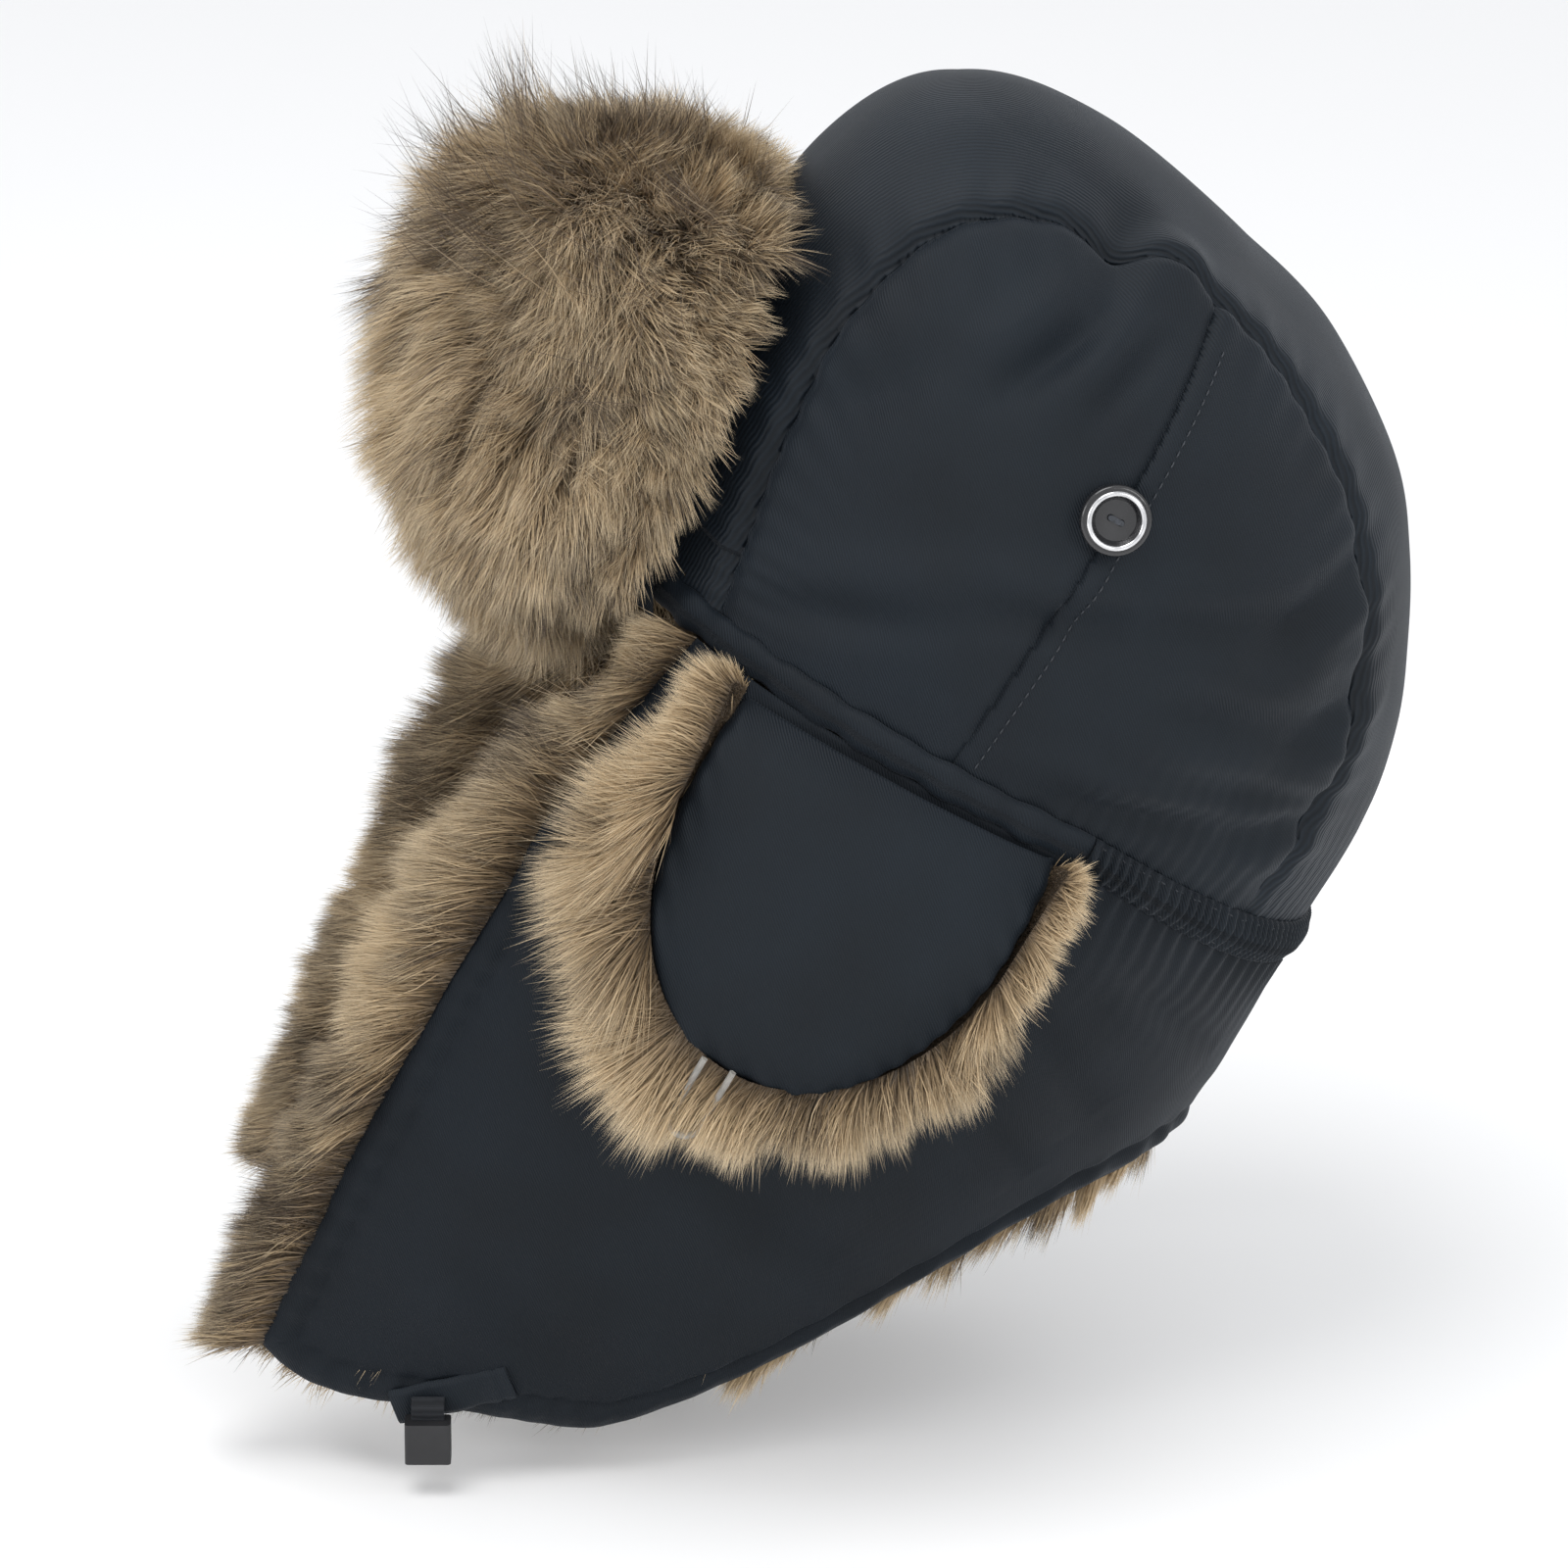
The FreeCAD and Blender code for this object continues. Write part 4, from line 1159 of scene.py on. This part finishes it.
for hand, sign in (("left", 1), ("right", -1)):
    body = f"ear_cover_{hand}"
    inner, s, t = cover_grid(72, 70, 5.5 * MM, extra=-0.0015)
    inner = inner - outward(inner) * np.minimum(tucked_in(s), 0.0048)[..., None]
    inner = inner[:66]
    inner_out = -outward(inner)
    steps = np.linspace(0, math.pi, 240)
    lean = np.cos(steps)
    share = np.sin(steps) ** 0.9
    s_edge = 0.10 + 0.90 * share
    for near_end in (steps, math.pi - steps):
        s_edge = np.where(near_end < 0.35, s_edge * (near_end / 0.35) ** 0.6, s_edge)
    y = COVER_MIDDLE - cover_width(s_edge, COVER_HALF) * np.where(lean >= 0, 1, -1) * np.minimum(
        1.0, np.abs(lean) * 40)
    level = COVER_TOP - s_edge * COVER_DEPTH
    turn = turn_at(CURTAIN, level, y, RING_STAND)
    rows = [on_side(CURTAIN, level, turn, RING_STAND + RING_TUBE * math.sin(a)) for a in RING_ANGLES]
    rim = np.array(rows)
    heart = np.array(COVER_TOP - 0.42 * COVER_DEPTH)
    centre = on_side(CURTAIN, heart, turn_at(CURTAIN, heart, np.array(COVER_MIDDLE)), RING_STAND)
    normal = unit(rim * np.array([1, 1, 0]) - np.array([0, -0.02, 0]))
    outwards = rim - centre
    outwards = unit(outwards - normal * np.einsum("ijk,ijk->ij", outwards, normal)[..., None])
    angles = RING_ANGLES[:, None, None]
    fan = unit(outwards * np.cos(angles) + normal * np.sin(angles) * 0.75)
    rim = rim + outwards * 0.0030 * (np.cos(angles) - 0.9)
    comb = outwards * 0.8 + BAND_DOWN * 0.40
    ahead = np.clip((COVER_MIDDLE - rim[..., 1]) / COVER_HALF, -1, 1)
    reach = 0.0225 + 0.0055 * ahead + 0.0075 * soft_noise(rim, 0.016, 40)
    short_top = np.clip((COVER_TOP - 0.004 - rim[..., 2]) / 0.03, 0.45, 1.0)
    for part, seed in (("a", 81), ("b", 82)):
        brush(*sided(sign, rim, fan, comb), 36000, reach * short_top, body, f"ear_fur_ring_{part}_{hand}",
              seed + (sign < 0) * 5, lift=0.5, droop=0.20, dark=-0.20, mess=1.05, wild=0.45, lock=0.008)
    flat = np.zeros_like(inner) + np.array([0, 0, -1.0])
    brush(*sided(sign, inner, inner_out, flat), 16000, np.full(inner.shape[:2], 0.009), body,
          f"ear_fur_inside_{hand}", 91 + (sign < 0), lift=0.02, droop=0.0, wild=0.12, mess=0.1)
    hide_sheet(f"ear_hide_{hand}", *sided(sign, inner), f"ear_cover_fur_{hand}", body)

# %% [markdown]
# ## Inside the crown
# The lining is thin cloth quilted to the wadding in diamonds. It is the dome again, drawn in by the
# wadding's thickness, with the quilting as a relief: pinched along two crossing sets of lines.

# %% Quilted lining and sweatband
LINING_INSET = 5.2 * MM      # at the band, where the lining meets the sweatband
LINING_DEEPER = 3.0 * MM     # and this much more above it, clear of the seams' creases
DEEPER_FROM = 40 * MM
around = np.linspace(0, math.tau, 320, endpoint=False)
rise = np.linspace(0.0, 1.0, 150)
stack_rows = CROWN[CROWN[:, 0] > 0.003]
picked = stack_rows[(rise * (len(stack_rows) - 1)).astype(int)]
inset = LINING_INSET + LINING_DEEPER * np.clip(picked[:, 0:1] / DEEPER_FROM, 0, 1)
inside = np.stack([(picked[:, 2:3] - inset).clip(0.0003) * np.sin(around),
                   picked[:, 1:2] - (picked[:, 3:4] - inset).clip(0.0003) * np.cos(around),
                   picked[:, 0:1] - inset * picked[:, 0:1] / 0.16 + 0 * around], -1)
across_head, up_head = around * 14, rise[:, None] * 16
diamonds = np.abs(np.sin(across_head + up_head)) * np.abs(np.sin(across_head - up_head))
quilt = 0.0024 * (1 - diamonds ** 0.35) - 0.0012
middle_of_head = np.array([0, -0.02, 0.05])
inside = inside + unit(inside - middle_of_head) * quilt[..., None]
lining = mesh_piece("quilted_lining", worn(inside), grid_faces(150, 320, True), LINING_CLOTH,
                    np.stack([np.tile(around * 0.09, (150, 1)), np.tile(rise[:, None] * 0.2, (1, 320))], -1))
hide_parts("crown_lining", "crown_wadding_centre", "crown_wadding_left", "crown_wadding_right")
band_level = np.linspace(0.004, 0.026, 14)[:, None] + 0 * around
sweat_grow = -0.0068 - 0.0006 * np.cos(np.linspace(-1.5, 1.5, 14))[:, None] + 0.0002 * np.sin(around * 90)
sweat = mesh_piece("sweatband_cloth", worn(on_side(CROWN, band_level, around + 0 * band_level, sweat_grow)),
                   grid_faces(14, 320, True), WEBBING_CLOTH,
                   np.stack([np.tile(around * 0.09, (14, 1)), band_level], -1))
thicken(sweat, 0.0012)
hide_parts("sweatband")
for piece in (lining, sweat):
    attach(piece, "crown")
print("lining faces:", len(lining.data.polygons))

# %% [markdown]
# ## Chin tabs and straps
# A folded twill tab is sewn to each flap near the chin, and a short end of webbing with one half of a
# buckle hangs from it. Flat straps are modelled directly: a rounded section with raised selvedges.


# %% Straps
def strap_piece(name, node, body, material, rows=40, columns=16):
    """A ribbed strap that fills the box of its node, with thicker edges and a sewn bar at the top."""
    low, high = (np.array(v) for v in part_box(node))
    mid, half = (low + high) / 2, (high - low) / 2
    u = np.linspace(0, math.tau, columns * 2, endpoint=False)
    edge = np.sign(np.cos(u)) * np.abs(np.cos(u)) ** 0.35
    face = np.sign(np.sin(u)) * np.abs(np.sin(u)) ** 0.35
    v = np.linspace(-1, 1, rows)[:, None]
    selvedge = 0.78 + 0.22 * np.abs(edge) ** 6
    bar = 1.0 + 0.12 * np.exp(-((v - 0.72) / 0.05) ** 2)
    into_tab = 0.0026 * np.clip((v - 0.1) / 0.9, 0, 1) ** 1.5 * np.sign(mid[0])
    x = mid[0] - into_tab + half[0] * face * selvedge * bar + 0.0001 * np.sin(v * 40)
    y = mid[1] + half[1] * edge + 0 * v
    z = mid[2] + half[2] * v + 0 * u
    points = np.stack(np.broadcast_arrays(x, y, z), -1)
    n = columns * 2
    faces = [list(q) for q in grid_faces(rows, n, True)]
    faces += [list(range(n))[::-1], [(rows - 1) * n + i for i in range(n)]]
    piece = mesh_piece(name, points, faces, material, np.stack([points[..., 1], points[..., 2]], -1))
    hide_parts(node)
    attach(piece, body)
    return piece


def tab_piece(hand, sign):
    """The tab follows the flap: a folded strip of twill with a hem roll and a crossed seam."""
    corners = np.array([(-31, -208), (-23, -216), (-47, -239), (-55, -231)]) * MM
    u = np.linspace(0, 1, 60)[:, None]
    v = np.linspace(0, 1, 26)[None, :]
    side = ((1 - u) * (1 - v))[..., None] * corners[0] + ((1 - u) * v)[..., None] * corners[1] \
        + (u * v)[..., None] * corners[2] + (u * (1 - v))[..., None] * corners[3]
    roll = np.exp(-(np.minimum(v, 1 - v) / 0.08) ** 2)
    stand = 0.0019 - 0.0011 * roll + 0.0004 * np.sin(u * 16) - 0.0006 * np.exp(-((u - 0.1) / 0.03) ** 2) \
        + 0.0003 * soft_noise(np.stack([side[..., 0], side[..., 1], 0 * side[..., 0]], -1), 0.008, 30)
    points = on_side(CURTAIN, side[..., 1], turn_at(CURTAIN, side[..., 1], side[..., 0]), stand)
    points, _, uv = sheet_for(sign, points, side, side)
    piece = mesh_piece(f"chin_tab_cloth_{hand}", worn(points), grid_faces(60, 26), SIDE_TWILL, uv)
    face_outward(piece)
    thicken(piece, 0.0013)
    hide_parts(f"chin_tab_{hand}")
    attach(piece, f"cheek_flap_{hand}")


for hand, sign in (("left", 1), ("right", -1)):
    tab_piece(hand, sign)
    strap_piece(f"chin_webbing_{hand}", f"chin_strap_{hand}", f"chin_strap_end_{hand}", WEBBING_CLOTH)

# %% [markdown]
# ## Topstitching
# Stitches are what says "sewn". Each is a small pinched capsule of thread laid along a seam, a little
# sunk at its ends. One function lays a row of them along any path of points.


# %% Stitches
def stitch_row(name, path, out, body, pitch=0.0030, share=0.66, radius=0.00022):
    """Stitches along a path (band frame), standing on the side that out points to."""
    steps = np.concatenate([[0], np.cumsum(np.linalg.norm(np.diff(path, axis=0), axis=1))])
    count = int(steps[-1] / pitch)
    ring = np.array([(math.cos(a), math.sin(a)) for a in np.linspace(0, math.tau, 6, endpoint=False)])
    points, faces = [], []
    for k in range(count):
        along = (k + np.linspace(0.5 - share / 2, 0.5 + share / 2, 5)) * pitch
        centre = np.stack([np.interp(along, steps, path[:, i]) for i in range(3)], -1)
        up = unit(np.stack([np.interp(along, steps, out[:, i]) for i in range(3)], -1))
        heading = unit(np.gradient(centre, axis=0))
        sideways = unit(np.cross(heading, up))
        thick = radius * np.array([0.35, 0.9, 1.0, 0.9, 0.35])
        sink = radius * np.array([-0.7, 0.4, 0.7, 0.4, -0.7])
        loop = centre[:, None] + up[:, None] * sink[:, None, None] \
            + thick[:, None, None] * (ring[None, :, :1] * sideways[:, None] + ring[None, :, 1:] * up[:, None])
        base = len(points) * 30
        points.append(loop.reshape(-1, 3))
        faces += [[base + i for i in quad] for quad in grid_faces(5, 6, True)]
    piece = mesh_piece(name, worn(np.concatenate(points)), faces, THREAD)
    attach(piece, body)
    return piece


def on_dome(x, y, z):
    """A point of the crown's smooth surface near (x, y, z): x is worked out from y and z."""
    middle, half_x, half_y = oval_at(CROWN, z)
    out = half_x * np.sqrt(np.maximum(1 - ((y - middle) / half_y) ** 2, 0))
    return np.stack([np.sign(x) * out, y, z], -1)


z_line = np.linspace(0.006, 0.1305, 160)
for hand, sign in (("left", 1), ("right", -1)):
    seam_y = SEAM_FOOT + z_line * SEAM_LEAN + 0.0052
    base = on_dome(np.full_like(z_line, sign), seam_y, z_line)
    keep = np.abs(base[:, 0]) > PANEL_HALF + 0.001
    base = base[keep]
    normal = dome_normal(base)
    lifted = seam_wander(base) + normal * (crown_relief(base) + 0.00018)[:, None]
    stitch_row(f"side_seam_stitches_{hand}", lifted, normal, "crown")
for label, share in (("upper", 0.72), ("lower", -0.72)):
    along = np.linspace(half_band + 0.02, math.tau - half_band - 0.02, 700)
    y = on_side(CROWN, np.full_like(along, -0.008), along)[:, 1]
    top, base_line = casing_edges(y)
    level = (top + base_line) / 2 + (top - base_line) / 2 * share
    gather = casing_gather(along) * 0.75
    path = on_side(CROWN, level, along, 0.0004 + 0.0027 * 0.69 + gather - 0.0006)
    normal = unit(path * np.array([1, 1, 0]))
    stitch_row(f"casing_stitches_{label}", path, normal, "crown")
print("stitches laid")

# %% [markdown]
# ## Floor, light and camera
# The hat hangs as it is worn, its lowest point just over a pale floor. Large soft lights from above and
# from the side keep the dark cloth readable: without a broad sheen across the crown the folds vanish.

# %% Stage
low, high = (np.array(v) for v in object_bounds())
floor_mesh = bpy.data.meshes.new("floor")
size = 6.0
corners = [(-size, -size, 0), (size, -size, 0), (size, size, 0), (-size, size, 0)]
floor_mesh.from_pydata(corners, [], [(0, 1, 2, 3)])
floor = bpy.data.objects.new("floor", floor_mesh)
floor.location.z = float(low[2]) - 0.003
bpy.context.collection.objects.link(floor)
floor_paint, _, floor_shader = new_material("pale_floor")
floor_shader.inputs["Base Color"].default_value = (0.93, 0.93, 0.93, 1.0)
floor_shader.inputs["Roughness"].default_value = 0.9
floor_shader.inputs["Specular IOR Level"].default_value = 0.1
floor_mesh.materials.append(floor_paint)
floor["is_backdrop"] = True

world = bpy.data.worlds.new("studio")
world.use_nodes = True
world.node_tree.nodes["Background"].inputs[0].default_value = (0.97, 0.98, 1.0, 1.0)
world.node_tree.nodes["Background"].inputs[1].default_value = 0.95
bpy.context.scene.world = world


def area_light(name, place, target, power, size_m):
    light = bpy.data.lights.new(name, "AREA")
    light.energy, light.shape, light.size = power, "DISK", size_m
    lamp = bpy.data.objects.new(name, light)
    lamp.location = place
    lamp.rotation_mode = "QUATERNION"
    lamp.rotation_quaternion = (Vector(target) - Vector(place)).to_track_quat("-Z", "Y")
    bpy.context.collection.objects.link(lamp)


area_light("overhead", (0.5, -0.5, 1.7), (0, 0, 0.05), 14, 1.1)
area_light("side", (1.5, 0.9, 0.7), (0, 0.05, 0.03), 7, 0.8)
area_light("front", (0.9, -1.5, 0.5), (0, -0.1, 0), 6, 0.7)

# %% Camera
AZIMUTH, ELEVATION, ROLL = math.radians(88), math.radians(20), math.radians(1.0)
DISTANCE = 1.200
flat = math.cos(ELEVATION)
back = Vector((math.sin(AZIMUTH) * flat, -math.cos(AZIMUTH) * flat, math.sin(ELEVATION)))
right = Vector((0, 0, 1)).cross(back).normalized()
up = back.cross(right)
AIM = right * -0.049 + up * -0.027
lens_data = bpy.data.cameras.new("studio_camera")
lens_data.lens, lens_data.sensor_width = 99.9, 36.0
lens_data.clip_start, lens_data.clip_end = 0.05, 50
camera = bpy.data.objects.new("studio_camera", lens_data)
right_rolled = right * math.cos(ROLL) + up * math.sin(ROLL)
up_rolled = up * math.cos(ROLL) - right * math.sin(ROLL)
turn_matrix = Matrix((right_rolled, up_rolled, back)).transposed()
camera.matrix_world = Matrix.Translation(AIM + back * DISTANCE) @ turn_matrix.to_4x4()
bpy.context.collection.objects.link(camera)
bpy.context.scene.camera = camera
bpy.context.scene.view_settings.view_transform = "Standard"
